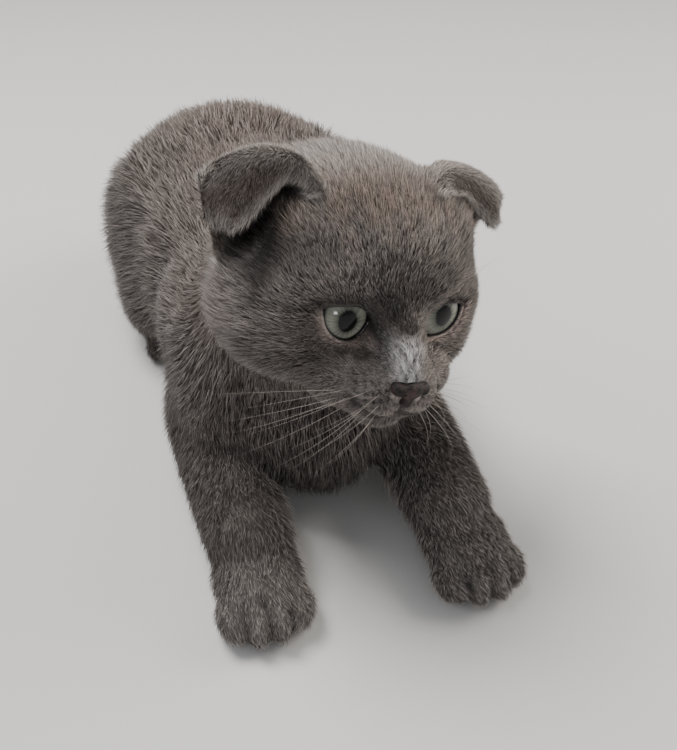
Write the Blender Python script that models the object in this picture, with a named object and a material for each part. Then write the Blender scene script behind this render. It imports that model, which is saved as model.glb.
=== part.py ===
"""A folded-ear kitten of about seven weeks, lying on its belly with its forepaws out and its head turned.

The shape is laid out in metres with the floor at z = 0. The kitten faces -Y, its left side is +X, and the
origin is on the floor under its ribs. Every surface is the outer face of the coat. Masses such as the ribcage
or a cheek are fused into smooth forms, which are then parted where a person would name the parts.
"""

import math

import bmesh
import bpy
from mathutils import Euler, Matrix, Vector
from mathutils.bvhtree import BVHTree

GAP = 0.0003  # between two nodes that meet

# Torso
BACK_HEIGHT = 0.070
HAUNCH_WIDTH = 0.098
RIB_WIDTH = 0.078
SHOULDER_WIDTH = 0.080
BRISKET_Y = -0.030
RUMP_Y = 0.138

# Head, in its own frame: x to its left, y backwards, z up, from the middle of the skull
HEAD_AT = Vector((0.0050, -0.0240, 0.0820))
HEAD_TURN = Euler((math.radians(4.5), math.radians(16), math.radians(11.5)), "XYZ")
SKULL_WIDTH = 0.062
SKULL_LENGTH = 0.064
SKULL_HEIGHT = 0.050
CHEEK_WIDTH = 0.069
EYE_SPACING = 0.0248
EYE_RADIUS = 0.0082
EYE_DEPTH = 0.0169  # the eye's centre, in front of the middle of the skull
EYE_RAISE = 0.0005
EYE_OUTWARD = math.radians(7)  # each eye looks this much to its own side
LID_THICKNESS = 0.0018
NOSE_REACH = 0.0392
NOSE_DROP = 0.0090
NOSE_WIDTH = 0.0100
CUT_DEPTH = 0.0005  # of the line of the mouth

# The opening between the lids, in millimetres in the eye's frame, with x outwards and z up: from the outer
# corner along the lower lid to the inner corner, and back along the flatter upper lid
LIDS = [
    (6.1, 2.1),
    (4.7, -0.8),
    (2.5, -2.9),
    (-0.8, -4.1),
    (-4.6, -4.2),
    (-6.6, -1.8),
    (-7.1, 0.6),
    (-5.2, 3.2),
    (-1.6, 4.9),
    (2.4, 4.4),
    (4.9, 3.3),
]

# Ears. Each is a shell between the line of its base, the crest where it folds and its free edge, all from
# the inner end to the outer end, in millimetres in the head's frame. x is away from the middle.
EAR_THICKNESS = 0.0024
EAR_BASE = [(15.5, -6, 20), (17.5, 4, 20.5), (23.5, 10, 18), (28.5, 12, 11), (30.5, 8, 3), (31, 3, -2)]
EAR_CREST = {
    "right": [(18, -2, 23.8), (20, 0.8, 25.4), (24, 1.8, 26.8), (30, 2.6, 26.4), (36.4, 3, 23.2), (40.6, 3.8, 18.8)],
    "left": [(17, -1, 23.6), (20, 2, 25), (26, 3.8, 24.8), (31.5, 4, 23.2), (36.2, 3.4, 21), (39.8, 2.8, 17.8)],
}
EAR_EDGE = {
    "right": [(17.5, -8.5, 21.4), (20.5, -5.4, 23.2), (24, -3, 23.8), (28.8, -4.2, 19.2), (33.8, -6, 13.6), (39.2, 0, 12)],
    "left": [(15, -6, 22.4), (18.5, -3, 23.2), (23.5, -2.6, 21.8), (28.5, -4.6, 18.8), (33.2, -6.5, 16), (37.2, -1.5, 14.8)],
}

# Limbs and tail
LEG_RADIUS = 0.0140
PAW_WIDTH = 0.0262
PAW_LENGTH = 0.031
PAW_HEIGHT = 0.0165
WRIST = {"left": (0.0292, -0.0420), "right": (-0.0262, -0.0390)}
PAW_TURN = {"left": math.radians(4), "right": math.radians(1)}  # toes outward
HIND_PAW_X = 0.0320
TAIL_RADIUS = 0.0095

# Faces kept on each form
FACES = {
    "head": 3900,
    "nose": 280,
    "ear": 760,
    "body": 4700,
}

# Colour and roughness, by the start of a node's name
COAT = ((0.145, 0.122, 0.112), 0.9)
FINISHES = {
    "ear": ((0.130, 0.102, 0.090), 0.9),
    "eye": ((0.330, 0.350, 0.280), 0.12),
    "nose": ((0.050, 0.034, 0.031), 0.45),
}

SIDES = {"left": 1, "right": -1}


def clear_scene():
    for obj in list(bpy.data.objects):
        bpy.data.objects.remove(obj)


def material(name):
    colour, roughness = FINISHES.get(name.split("_")[0], COAT)
    mat = bpy.data.materials.new(name)
    mat.use_nodes = True
    shader = mat.node_tree.nodes["Principled BSDF"]
    shader.inputs["Base Color"].default_value = (*colour, 1)
    shader.inputs["Roughness"].default_value = roughness
    shader.inputs["Metallic"].default_value = 0
    return mat


def object_of(name, mesh):
    obj = bpy.data.objects.new(name, mesh)
    bpy.context.scene.collection.objects.link(obj)
    return obj


def mesh_of(name, shape):
    mesh = bpy.data.meshes.new(name)
    shape.to_mesh(mesh)
    shape.free()
    return mesh


def applied(obj):
    """Swaps the object's mesh for the one that its modifiers make."""
    bpy.context.view_layer.update()
    graph = bpy.context.evaluated_depsgraph_get()
    mesh = bpy.data.meshes.new_from_object(obj.evaluated_get(graph))
    obj.modifiers.clear()
    old = obj.data
    obj.data = mesh
    bpy.data.meshes.remove(old)
    return obj


class Masses:
    """Overlapping closed forms, such as muscles, that are fused into one."""

    def __init__(self, frame=None):
        self.shape = bmesh.new()
        self.frame = frame or Matrix.Identity(4)

    def ellipsoid(self, centre, radii, turn=(0, 0, 0)):
        place = (
            self.frame
            @ Matrix.Translation(centre)
            @ Euler(turn, "XYZ").to_matrix().to_4x4()
            @ Matrix.Diagonal((*radii, 1))
        )
        bmesh.ops.create_icosphere(self.shape, subdivisions=4, radius=1, matrix=place)
        return self

    def pair(self, centre, radii, turn=(0, 0, 0)):
        """The same form on both sides."""
        for side in SIDES.values():
            self.ellipsoid(
                (side * centre[0], centre[1], centre[2]),
                radii,
                (turn[0], side * turn[1], side * turn[2]),
            )
        return self

    def limb(self, points, radii, steps=7):
        """Balls along the straight runs between points, close enough to fuse into one tapered tube."""
        for a, b, ra, rb in zip(points, points[1:], radii, radii[1:]):
            for i in range(steps + 1):
                t = i / steps
                centre = Vector(a).lerp(Vector(b), t)
                radius = ra + (rb - ra) * t
                self.ellipsoid(centre, (radius, radius, radius))
        return self

    def fused(self, name, voxel, passes, faces):
        obj = object_of(name, mesh_of(name, self.shape))
        remesh = obj.modifiers.new("fuse", "REMESH")
        remesh.mode = "VOXEL"
        remesh.voxel_size = voxel
        remesh.use_smooth_shade = True
        smooth = obj.modifiers.new("soften", "SMOOTH")
        smooth.factor = 0.5
        smooth.iterations = passes
        return thinned(keep_largest(applied(obj)), faces)


def thinned(obj, faces):
    """Keeps about this many triangles, the most of them where the form curves most."""
    obj.data.calc_loop_triangles()
    thin = obj.modifiers.new("thin", "DECIMATE")
    thin.ratio = min(1, faces / len(obj.data.loop_triangles))
    return applied(obj)


def islands(shape):
    """The separate surfaces of a bmesh, as lists of faces."""
    left = set(shape.faces)
    found = []
    while left:
        stack = [left.pop()]
        island = [stack[0]]
        while stack:
            for edge in stack.pop().edges:
                for face in edge.link_faces:
                    if face in left:
                        left.remove(face)
                        stack.append(face)
                        island.append(face)
        found.append(island)
    return found


def keep_largest(obj):
    shape = bmesh.new()
    shape.from_mesh(obj.data)
    found = sorted(islands(shape), key=lambda fs: sum(f.calc_area() for f in fs))
    for island in found[:-1]:
        bmesh.ops.delete(shape, geom=island, context="FACES")
    loose = [v for v in shape.verts if not v.link_faces]
    bmesh.ops.delete(shape, geom=loose, context="VERTS")
    shape.to_mesh(obj.data)
    shape.free()
    return obj


def copy_of(obj, name):
    return object_of(name, obj.data.copy())


def boolean(obj, others, operation):
    """Cuts others from obj, or keeps what they share, and applies it."""
    for other in others:
        cut = obj.modifiers.new("cut", "BOOLEAN")
        cut.operation = operation
        cut.solver = "EXACT"
        cut.object = other
    return applied(obj)


def remove(*objects):
    for obj in objects:
        bpy.data.objects.remove(obj)


def box(low, high, frame=None):
    shape = bmesh.new()
    low, high = Vector(low), Vector(high)
    place = Matrix.Translation((low + high) / 2) @ Matrix.Diagonal((*(high - low), 1))
    bmesh.ops.create_cube(shape, size=1, matrix=(frame or Matrix.Identity(4)) @ place)
    return object_of("box", mesh_of("box", shape))


def ball(centre, radii, turn=(0, 0, 0), frame=None, segments=32):
    """A closed ellipsoid with regular rings, for a cutter or an eye's socket."""
    shape = bmesh.new()
    place = (
        (frame or Matrix.Identity(4))
        @ Matrix.Translation(centre)
        @ Euler(turn, "XYZ").to_matrix().to_4x4()
        @ Matrix.Diagonal((*radii, 1))
    )
    bmesh.ops.create_uvsphere(
        shape, u_segments=segments, v_segments=segments // 2, radius=1, matrix=place
    )
    return object_of("ball", mesh_of("ball", shape))


def parted(whole, name, cutter):
    """Takes the part of whole that lies in the cutter, and leaves the rest a gap away."""
    outer = grown(cutter, GAP * 1.4)
    part = boolean(copy_of(whole, name), [cutter], "INTERSECT")
    boolean(whole, [outer], "DIFFERENCE")
    remove(cutter, outer)
    keep_largest(whole)
    return keep_largest(part)


def rest_on_floor(obj):
    below = box((-1, -1, -1), (1, 1, 0))
    boolean(obj, [below], "DIFFERENCE")
    remove(below)
    return obj


def head_frame():
    return Matrix.Translation(HEAD_AT) @ HEAD_TURN.to_matrix().to_4x4()


def grown(obj, amount=GAP):
    """A copy of the object, larger by amount all over."""
    copy = copy_of(obj, "grown")
    push = copy.modifiers.new("push", "DISPLACE")
    push.mid_level = 0
    push.strength = amount
    return applied(copy)


def less(obj, *others):
    """Takes the other nodes from the object, with the gap between them."""
    cutters = [grown(other) for other in others]
    boolean(obj, cutters, "DIFFERENCE")
    remove(*cutters)
    return keep_largest(obj)


def skull(frame):
    """The broad forms of the head: skull, forehead, cheeks, temples and jaw."""
    masses = Masses(frame)
    masses.ellipsoid((0, 0.003, 0.002), (SKULL_WIDTH / 2, SKULL_LENGTH / 2, SKULL_HEIGHT / 2))
    masses.ellipsoid((0, -0.009, 0.006), (0.0240, 0.0180, 0.0180))
    masses.pair((0.0138, 0.0005, 0.0112), (0.0150, 0.0195, 0.0136))
    masses.pair((0.0190, -0.0118, 0.0000), (0.0100, 0.0122, 0.0120))
    cheek = CHEEK_WIDTH / 2
    masses.pair((cheek - 0.0155, -0.003, -0.0085), (0.0155, 0.0200, 0.0150))
    masses.pair((cheek - 0.0185, -0.0125, -0.0090), (0.0140, 0.0135, 0.0120))
    masses.ellipsoid((0, 0.010, -0.014), (0.0250, 0.0220, 0.0190))
    masses.ellipsoid((0, -0.0180, -0.0130), (0.0180, 0.0140, 0.0100))
    return masses.fused("skull", 0.0014, 36, 6000)


def face(frame, broad):
    """The skull with the nose's bridge, the whisker pads, the chin and the lids on it."""
    masses = Masses(frame)
    masses.shape.from_mesh(broad.data)
    masses.limb(
        [(0, -0.0205, 0.0035), (0, -0.0290, -0.0036), (0, -0.0334, -0.0080)],
        [0.0084, 0.0064, 0.0048],
        steps=6,
    )
    masses.pair((0.0052, -0.0308, -0.0140), (0.0074, 0.0064, 0.0058), (0, 0, 0.5))
    masses.pair((0.0108, -0.0250, -0.0132), (0.0080, 0.0072, 0.0068))
    masses.ellipsoid((0, -0.0286, -0.0196), (0.0074, 0.0056, 0.0048))
    masses.ellipsoid((0, -0.0190, -0.0175), (0.0140, 0.0130, 0.0075))
    eye_x = EYE_SPACING / 2
    masses.pair((eye_x + 0.0010, -0.0150, 0.0080), (0.0090, 0.0072, 0.0052), (0, 0.25, 0))
    masses.pair((eye_x, -EYE_DEPTH, EYE_RAISE), (EYE_RADIUS + LID_THICKNESS,) * 3)
    return masses.fused("head", 0.0008, 9, FACES["head"])


def eye_frame(frame, side):
    """The eye's frame, from its centre, with y away from what it looks at."""
    centre = Vector((side * EYE_SPACING / 2, -EYE_DEPTH, EYE_RAISE))
    turn = Euler((0, side * math.radians(-6), side * EYE_OUTWARD), "XYZ")
    return frame @ Matrix.Translation(centre) @ turn.to_matrix().to_4x4()


def eye(name, place):
    return renamed(ball((0, 0, 0), (EYE_RADIUS,) * 3, (math.pi / 2, 0, 0), place, 20), name)


def renamed(obj, name):
    obj.name = name
    obj.data.name = name
    return obj


def lid_opening(place, side):
    """A rounded opening that widens forward, so that the lids end in a clean edge."""
    shape = bmesh.new()
    count = 3 * len(LIDS)
    rings = []
    for reach, scale in ((EYE_RADIUS * 0.3, 0.70), (EYE_RADIUS * 1.8, 1.42)):
        ring = []
        for i in range(count):
            at = spline(LIDS + LIDS[:1], i / count) * scale / 1000
            ring.append(shape.verts.new(place @ Vector((side * at.x, -reach, at.y))))
        rings.append(ring)
    for i in range(count):
        j = (i + 1) % count
        shape.faces.new((rings[0][i], rings[0][j], rings[1][j], rings[1][i]))
    shape.faces.new(rings[0][::-1])
    shape.faces.new(rings[1])
    bmesh.ops.recalc_face_normals(shape, faces=shape.faces[:])
    return object_of("opening", mesh_of("opening", shape))


def nose(frame):
    """The nose's leather, wide above and narrow below, with its nostrils."""
    masses = Masses(frame)
    half = NOSE_WIDTH / 2
    front = -NOSE_REACH
    masses.pair((half - 0.0021, front + 0.0026, -NOSE_DROP + 0.0006), (0.0021, 0.0022, 0.0017))
    masses.ellipsoid((0, front + 0.0021, -NOSE_DROP + 0.0007), (0.0032, 0.0022, 0.0021))
    masses.ellipsoid((0, front + 0.0026, -NOSE_DROP - 0.0022), (0.0017, 0.0020, 0.0024))
    leather = masses.fused("nose", 0.00035, 3, FACES["nose"])
    for side in SIDES.values():
        nostril = ball(
            (side * half * 0.54, front + 0.0003, -NOSE_DROP + 0.0001),
            (0.0010, 0.0011, 0.0006),
            (0, side * 0.5, 0),
            frame,
            12,
        )
        boolean(leather, [nostril], "DIFFERENCE")
        remove(nostril)
    return keep_largest(leather)


def groove(obj, frame, outline, radius):
    """Cuts a fine line where the outline, given as x and z in the head's frame, meets the face."""
    shape = bmesh.new()
    shape.from_mesh(obj.data)
    surface = BVHTree.FromBMesh(shape)
    shape.free()
    inverse = frame.inverted()
    ahead = frame.to_3x3() @ Vector((0, 1, 0))
    path = []
    for x, z in outline:
        hit = surface.ray_cast(frame @ Vector((x, -0.06, z)), ahead)[0]
        if hit:
            path.append(inverse @ hit + Vector((0, radius - CUT_DEPTH, 0)))
    tube = bpy.data.curves.new("line", "CURVE")
    tube.dimensions = "3D"
    tube.bevel_depth = radius
    tube.bevel_resolution = 1
    tube.use_fill_caps = True
    run = tube.splines.new("POLY")
    run.points.add(len(path) - 1)
    for point, place in zip(run.points, path):
        point.co = (*(frame @ place), 1)
    line = object_of("line", tube)
    bpy.context.view_layer.update()
    graph = bpy.context.evaluated_depsgraph_get()
    cutter = object_of("cutter", bpy.data.meshes.new_from_object(line.evaluated_get(graph)))
    boolean(obj, [cutter], "DIFFERENCE")
    remove(line, cutter)
    return keep_largest(obj)


def spline(points, t):
    """A smooth curve through the points, for t from 0 to 1."""
    last = len(points) - 1
    i = min(int(t * last), last - 1)
    f = t * last - i
    p0, p1, p2, p3 = (Vector(points[max(0, min(last, i + k))]) for k in (-1, 0, 1, 2))
    return 0.5 * (
        2 * p1 + (p2 - p0) * f + (2 * p0 - 5 * p1 + 4 * p2 - p3) * f**2 + (3 * p1 - p0 - 3 * p2 + p3) * f**3
    )


def ear(name, side, sign, frame):
    """A cupped shell that rises from the base line, folds forward at the crest and ends at the free edge."""
    shape = bmesh.new()
    across, along = 22, 20
    rows = []
    for i in range(across + 1):
        u = i / across
        base, crest, edge = (spline(line, u) for line in (EAR_BASE, EAR_CREST[side], EAR_EDGE[side]))
        behind = (base + crest) / 2 + Vector((1.0, 2.4, 0.8)) * math.sin(math.pi * min(1, u + 0.15))
        before = (crest + edge) / 2 + Vector((0.6, -1.6, 2.0)) * math.sin(math.pi * min(1, u + 0.1))
        profile = [base, behind, crest, before, edge]
        row = []
        for j in range(along + 1):
            at = spline(profile, j / along) / 1000
            row.append(shape.verts.new(frame @ Vector((sign * at.x, at.y, at.z))))
        rows.append(row)
    for i in range(across):
        for j in range(along):
            corners = (rows[i][j], rows[i + 1][j], rows[i + 1][j + 1], rows[i][j + 1])
            shape.faces.new(corners if sign > 0 else corners[::-1])
    bmesh.ops.recalc_face_normals(shape, faces=shape.faces[:])
    obj = object_of(name, mesh_of(name, shape))
    thick = obj.modifiers.new("thick", "SOLIDIFY")
    thick.thickness = EAR_THICKNESS
    thick.offset = 0
    thick.use_even_offset = True
    fuse = obj.modifiers.new("fuse", "REMESH")
    fuse.mode = "VOXEL"
    fuse.voxel_size = 0.0006
    soften = obj.modifiers.new("soften", "SMOOTH")
    soften.iterations = 7
    return thinned(keep_largest(applied(obj)), FACES["ear"])


def trunk():
    """The broad forms of the body: chest, ribs, loin, rump, shoulders, haunches and neck."""
    masses = Masses()
    middle = BACK_HEIGHT / 2
    masses.ellipsoid((0, 0.056, middle + 0.001), (0.037, 0.078, 0.0335))
    masses.ellipsoid((0, 0.022, middle + 0.001), (RIB_WIDTH / 2, 0.046, 0.0335))
    masses.ellipsoid((0, BRISKET_Y + 0.025, 0.0305), (0.031, 0.025, 0.0325))
    masses.ellipsoid((0, 0.046, 0.018), (0.029, 0.062, 0.0205))
    masses.ellipsoid((0, 0.066, middle), (0.042, 0.050, middle))
    masses.ellipsoid((-0.001, RUMP_Y - 0.036, middle + 0.001), (0.042, 0.036, 0.0345))
    shoulder = SHOULDER_WIDTH / 2 - 0.0155
    masses.pair((shoulder, 0.004, 0.034), (0.0155, 0.025, 0.027))
    thigh = HAUNCH_WIDTH / 2 - 0.018
    masses.pair((thigh, 0.094, 0.031), (0.018, 0.037, 0.030))
    masses.pair((thigh + 0.001, 0.076, 0.022), (0.0165, 0.026, 0.021))
    masses.limb(
        [(0, 0.020, 0.040), (0.001, 0.000, 0.056), (0.003, -0.015, 0.071)],
        [0.030, 0.0300, 0.0280],
    )
    return masses.fused("trunk", 0.0018, 34, 20000)


def paw(masses, at, turn, width, length, height):
    """A rounded paw with four toes. at is the middle of its sole and turn points its toes outward."""
    place = Matrix.Translation(at) @ Matrix.Rotation(turn, 4, "Z")
    old = masses.frame
    masses.frame = old @ place
    masses.ellipsoid((0, 0.002, height * 0.50), (width * 0.49, length * 0.54, height * 0.52))
    toe = width / 4 * 0.66
    for i, (x, y) in enumerate(((-0.35, 0.27), (-0.125, 0.36), (0.125, 0.36), (0.35, 0.27))):
        outer = i in (0, 3)
        masses.ellipsoid(
            (x * width, -y * length, height * (0.34 if outer else 0.38)),
            (toe, length * 0.23, height * (0.38 if outer else 0.43)),
            (0, 0, -x * 0.5),
        )
    masses.frame = old


def tail_run():
    run = [
        (0.000, 0.130, 0.022),
        (0.014, 0.144, 0.013),
        (0.034, 0.147, 0.0095),
        (0.052, 0.134, 0.009),
        (0.061, 0.112, 0.0085),
        (0.0625, 0.088, 0.008),
        (0.060, 0.064, 0.0075),
    ]
    points = [spline(run, t / 18) for t in range(19)]
    return points, [TAIL_RADIUS * (1.08 - 0.38 * (t / 18) ** 2) for t in range(19)]


def elbow_of(sign):
    return Vector((sign * 0.0268, 0.008, 0.0142))


def wrist_of(side):
    return Vector((*WRIST[side], 0.0118))


def body(broad):
    """The trunk with the forelegs, the paws and the tail on it."""
    masses = Masses()
    masses.shape.from_mesh(broad.data)
    for side, sign in SIDES.items():
        elbow, wrist = elbow_of(sign), wrist_of(side)
        middle = elbow.lerp(wrist, 0.6) + Vector((0, 0, 0.0006))
        masses.limb([(sign * 0.0235, 0.004, 0.036), elbow], [0.0160, 0.0152], steps=4)
        masses.limb([elbow, middle, wrist], [0.0152, LEG_RADIUS, LEG_RADIUS * 0.90], steps=6)
        turn = sign * PAW_TURN[side]
        sole = wrist + Matrix.Rotation(turn, 3, "Z") @ Vector((0, -0.0125, 0))
        paw(masses, (sole.x, sole.y, 0), turn, PAW_WIDTH, PAW_LENGTH, PAW_HEIGHT)
        x = sign * HIND_PAW_X
        masses.limb([(x, 0.116, 0.012), (x, 0.094, 0.0075), (x, 0.073, 0.0075)], [0.0105, 0.0085, 0.0085])
        paw(masses, (x, 0.067, 0), sign * 0.06, 0.0190, 0.023, 0.0130)
    points, radii = tail_run()
    masses.limb(points, radii, steps=2)
    return rest_on_floor(masses.fused("torso", 0.0011, 7, FACES["body"]))


def region(points, radii):
    """A closed cutter round a limb."""
    masses = Masses()
    masses.limb(points, radii, steps=4)
    return masses.fused("region", 0.0030, 6, 240)


def main():
    clear_scene()
    frame = head_frame()
    broad = skull(frame)
    head = face(frame, broad)
    near = thinned(grown(head, GAP / 2), 1900)  # stands for the head where another node meets it
    leather = nose(frame)
    nodes = [head, leather]
    for side, sign in SIDES.items():
        place = eye_frame(frame, sign)
        socket = ball((0, 0, 0), (EYE_RADIUS + GAP,) * 3, (math.pi / 2, 0, 0), place, 20)
        opening = lid_opening(place, sign)
        boolean(head, [socket], "DIFFERENCE")
        boolean(head, [opening], "DIFFERENCE")
        remove(socket, opening)
        nodes.append(eye(f"eye_{side}", place))
    groove(head, frame, mouth_line(), 0.0007)
    less(head, leather)
    for side, sign in SIDES.items():
        cup = ball((sign * 0.0295, -0.0010, 0.0105), (0.0052, 0.0062, 0.0105), (0, -sign * 0.6, 0), frame, 14)
        boolean(head, [cup], "DIFFERENCE")
        remove(cup)
        nodes.append(less(ear(f"ear_{side}", side, sign, frame), near))
    keep_largest(head)
    wide = trunk()
    torso = body(wide)
    remove(wide)
    # The neck is all that lies above a slope from the withers to the throat
    slope = Matrix.Translation((0, 0.012, 0.060)) @ Matrix.Rotation(math.radians(28), 4, "X")
    neck = parted(torso, "neck", box((-0.08, -0.10, 0), (0.08, 0.10, 0.10), slope))
    less(neck, near)
    less(torso, near)
    nodes += [neck, torso]
    for side, sign in SIDES.items():
        elbow, wrist = elbow_of(sign), wrist_of(side)
        shoulder = Vector((sign * 0.034, 0.006, 0.036))
        toes = wrist + Vector((sign * 0.002, -0.040, 0))
        leg = parted(
            torso,
            f"foreleg_{side}",
            region([shoulder, elbow + Vector((sign * 0.004, 0, 0)), wrist, toes], [0.015, 0.020, 0.019, 0.022]),
        )
        ahead = Matrix.Translation(wrist) @ Matrix.Rotation(sign * PAW_TURN[side], 4, "Z")
        nodes.append(parted(leg, f"forepaw_{side}", box((-0.04, -0.09, -0.03), (0.04, 0.001, 0.05), ahead)))
        nodes.append(leg)
        x = sign * (HAUNCH_WIDTH / 2 - 0.006)
        haunch = ball((x, 0.088, 0.026), (0.0220, 0.0440, 0.0400), (0, 0, sign * 0.06), segments=20)
        hind = parted(torso, f"hind_leg_{side}", haunch)
        low = box((-0.08, 0.03, -0.03), (0.08, 0.0820, 0.0140))
        nodes.append(parted(hind, f"hind_paw_{side}", low))
        nodes.append(hind)
    points, radii = tail_run()
    nodes.append(parted(torso, "tail", region(points[3:] + [points[-1] + Vector((0, -0.01, 0))], [0.0135] * 17)))
    remove(broad, near)
    for node in nodes:
        dress(node)


def mouth_line():
    """From the left corner of the mouth, under the nose and to the right corner."""
    half = [
        (0.0122, -0.0130),
        (0.0102, -0.0143),
        (0.0078, -0.0158),
        (0.0050, -0.0168),
        (0.0022, -0.0166),
        (0.0000, -0.0156),
    ]
    return half + [(-x, z) for x, z in half[-2::-1]]


def dress(node):
    for face_ in node.data.polygons:
        face_.use_smooth = True
    node.data.set_sharp_from_angle(angle=math.radians(40))
    node.data.materials.clear()
    node.data.materials.append(material(node.name))


if __name__ == "__main__":
    main()
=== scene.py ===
"""Dresses the folded-ear kitten: a skin, a coat of solid hairs, eyes with lids, nose leather and whiskers."""

import math

import bmesh
import bpy
import numpy as np
from bpy.props import FloatProperty, FloatVectorProperty, IntProperty, PointerProperty
from bpy.types import Operator, Panel, PropertyGroup
from mathutils import Euler, Matrix, Vector
from mathutils.bvhtree import BVHTree
from mathutils.kdtree import KDTree


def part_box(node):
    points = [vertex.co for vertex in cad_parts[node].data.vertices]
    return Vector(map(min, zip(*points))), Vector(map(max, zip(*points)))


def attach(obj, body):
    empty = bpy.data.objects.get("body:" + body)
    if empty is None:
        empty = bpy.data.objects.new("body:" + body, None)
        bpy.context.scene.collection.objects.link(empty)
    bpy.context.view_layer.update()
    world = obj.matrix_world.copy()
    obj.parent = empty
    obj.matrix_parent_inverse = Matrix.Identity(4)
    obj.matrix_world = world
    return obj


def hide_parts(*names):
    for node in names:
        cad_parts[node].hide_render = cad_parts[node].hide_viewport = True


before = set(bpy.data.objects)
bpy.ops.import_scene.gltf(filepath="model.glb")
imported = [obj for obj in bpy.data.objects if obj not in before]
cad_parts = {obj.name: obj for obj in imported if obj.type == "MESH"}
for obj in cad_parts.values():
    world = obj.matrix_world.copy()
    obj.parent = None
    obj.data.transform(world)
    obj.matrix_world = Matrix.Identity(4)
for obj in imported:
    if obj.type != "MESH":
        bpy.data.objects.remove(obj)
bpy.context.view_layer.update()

bl_info = {
    "name": "Folded-ear kitten",
    "version": (1, 0, 0),
    "blender": (4, 5, 0),
    "location": "View3D > Sidebar > Kitten",
    "description": "Skin, coat, eyes, nose, whiskers and stage of a lying kitten",
    "category": "Object",
}

MM = 0.001
BODY = "root"
SIDES = {"left": 1, "right": -1}
THIRDS = (0, 2 * math.pi / 3, 4 * math.pi / 3)

# The head's frame: x to its left, y backwards, z up. Its turn is the one that the solids have.
HEAD_TURN = Euler((math.radians(4.5), math.radians(16), math.radians(11.5)), "XYZ").to_matrix()
EYE_DEPTH = 0.0169
EYE_RAISE = 0.0005


def middle_of(node):
    low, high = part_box(node)
    return (low + high) / 2


EYE_CENTRE = {side: middle_of(f"eye_{side}") for side in SIDES}
EYE_RADIUS = (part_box("eye_left")[1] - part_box("eye_left")[0]).z / 2
HEAD_AT = (EYE_CENTRE["left"] + EYE_CENTRE["right"]) / 2 - HEAD_TURN @ Vector((0, -EYE_DEPTH, EYE_RAISE))
HEAD = Matrix.Translation(HEAD_AT) @ HEAD_TURN.to_4x4()

HEAD_NODES = ("head", "ear_left", "ear_right")
BODY_NODES = ("neck", "torso", "tail")
LIMB_PARTS = ("foreleg", "forepaw", "hind_leg", "hind_paw")
LIMB_NODES = tuple(f"{part}_{side}" for part in LIMB_PARTS for side in SIDES)
FLESH = HEAD_NODES + BODY_NODES + LIMB_NODES

# How the skin is made from the solids: they are pushed out to meet each other, and fused
NODE_PUSH = 0.26 * MM
SKIN_VOXEL = 0.8 * MM
SKIN_KEPT = 0.45
INSET_STEPS = 4
SKIN_FLOOR = 0.3 * MM
HAIR_FLOOR = 0.2 * MM
MOUTH_DEPTH = 0.55 * MM
TOE_GROOVE_DEPTH = 0.5 * MM

# The opening between the lids, in mm in the eye's frame: from the outer corner along the lower lid to the
# inner corner, and back along the upper lid
LIDS = [
    (6.1, 2.1),
    (4.7, -0.8),
    (2.5, -2.9),
    (-0.8, -4.1),
    (-4.6, -4.2),
    (-6.6, -1.8),
    (-7.1, 0.6),
    (-5.2, 3.2),
    (-1.6, 4.9),
    (2.4, 4.4),
    (4.9, 3.3),
]
# The lids' edge stands off the ball, and turns in to end below its surface
LID_EDGE = EYE_RADIUS + 0.8 * MM
LID_END = EYE_RADIUS - 0.25 * MM
CORNEA_RISE = 1.35 * MM

# How far each eye looks up and to the kitten's left of where its opening faces, and its roll, in degrees
GAZE = {"left": (10.5, -2.5, -14), "right": (6.8, 1.2, -22)}

# How deep the coat is and how long its hairs are, in mm, at spots in mm. x is away from the middle.
HEAD_SPOTS = (
    # x, y, z, depth, length
    (0, -37, -5, 0.30, 0.9),
    (0, -32, -1, 0.45, 1.4),
    (0, -25, 6, 0.75, 2.2),
    (4, -36, -12, 0.50, 1.2),
    (9, -32, -14, 0.50, 0.85),
    (7, -34, -9, 0.50, 0.85),
    (0, -33, -22, 0.80, 2.2),
    (12.5, -26, 1, 0.25, 1.0),
    (14, -26, -7, 0.70, 2.2),
    (25, -15, -8, 1.5, 4.2),
    (31, 0, -14, 2.4, 6.0),
    (0, -21, 15, 1.0, 2.9),
    (13, -22, 11, 0.8, 2.5),
    (27, -13, 5, 1.2, 3.2),
    (0, 2, 27, 1.6, 4.2),
    (22, -4, 22, 1.2, 3.2),
    (0, 31, 8, 2.8, 7.0),
    (26, 20, 0, 2.4, 6.5),
    (0, -8, -28, 2.4, 6.0),
)
BODY_SPOTS = (
    (0, 12, 72, 2.3, 5.8),
    (30, 0, 60, 2.2, 5.6),
    (0, -32, 45, 2.3, 6.2),
    (0, -30, 22, 2.5, 7.5),
    (34, 5, 40, 2.5, 6.0),
    (0, 50, 70, 2.8, 6.6),
    (40, 50, 35, 3.0, 7.0),
    (0, 40, 0, 2.0, 5.0),
    (0, 125, 60, 3.0, 7.4),
    (48, 95, 35, 2.9, 7.0),
    (38, 12, 12, 2.1, 4.4),
    (29, -22, 27, 2.0, 4.0),
    (29, -45, 22, 1.8, 3.4),
    (29, -60, 16, 1.5, 2.8),
    (29, -70, 6, 1.2, 2.3),
    (33, 62, 8, 1.4, 2.8),
    (8, 138, 22, 2.6, 6.2),
    (60, 112, 14, 2.2, 5.2),
    (60, 62, 10, 1.9, 4.8),
)
EAR_COAT = (0.40, 1.6)

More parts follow.
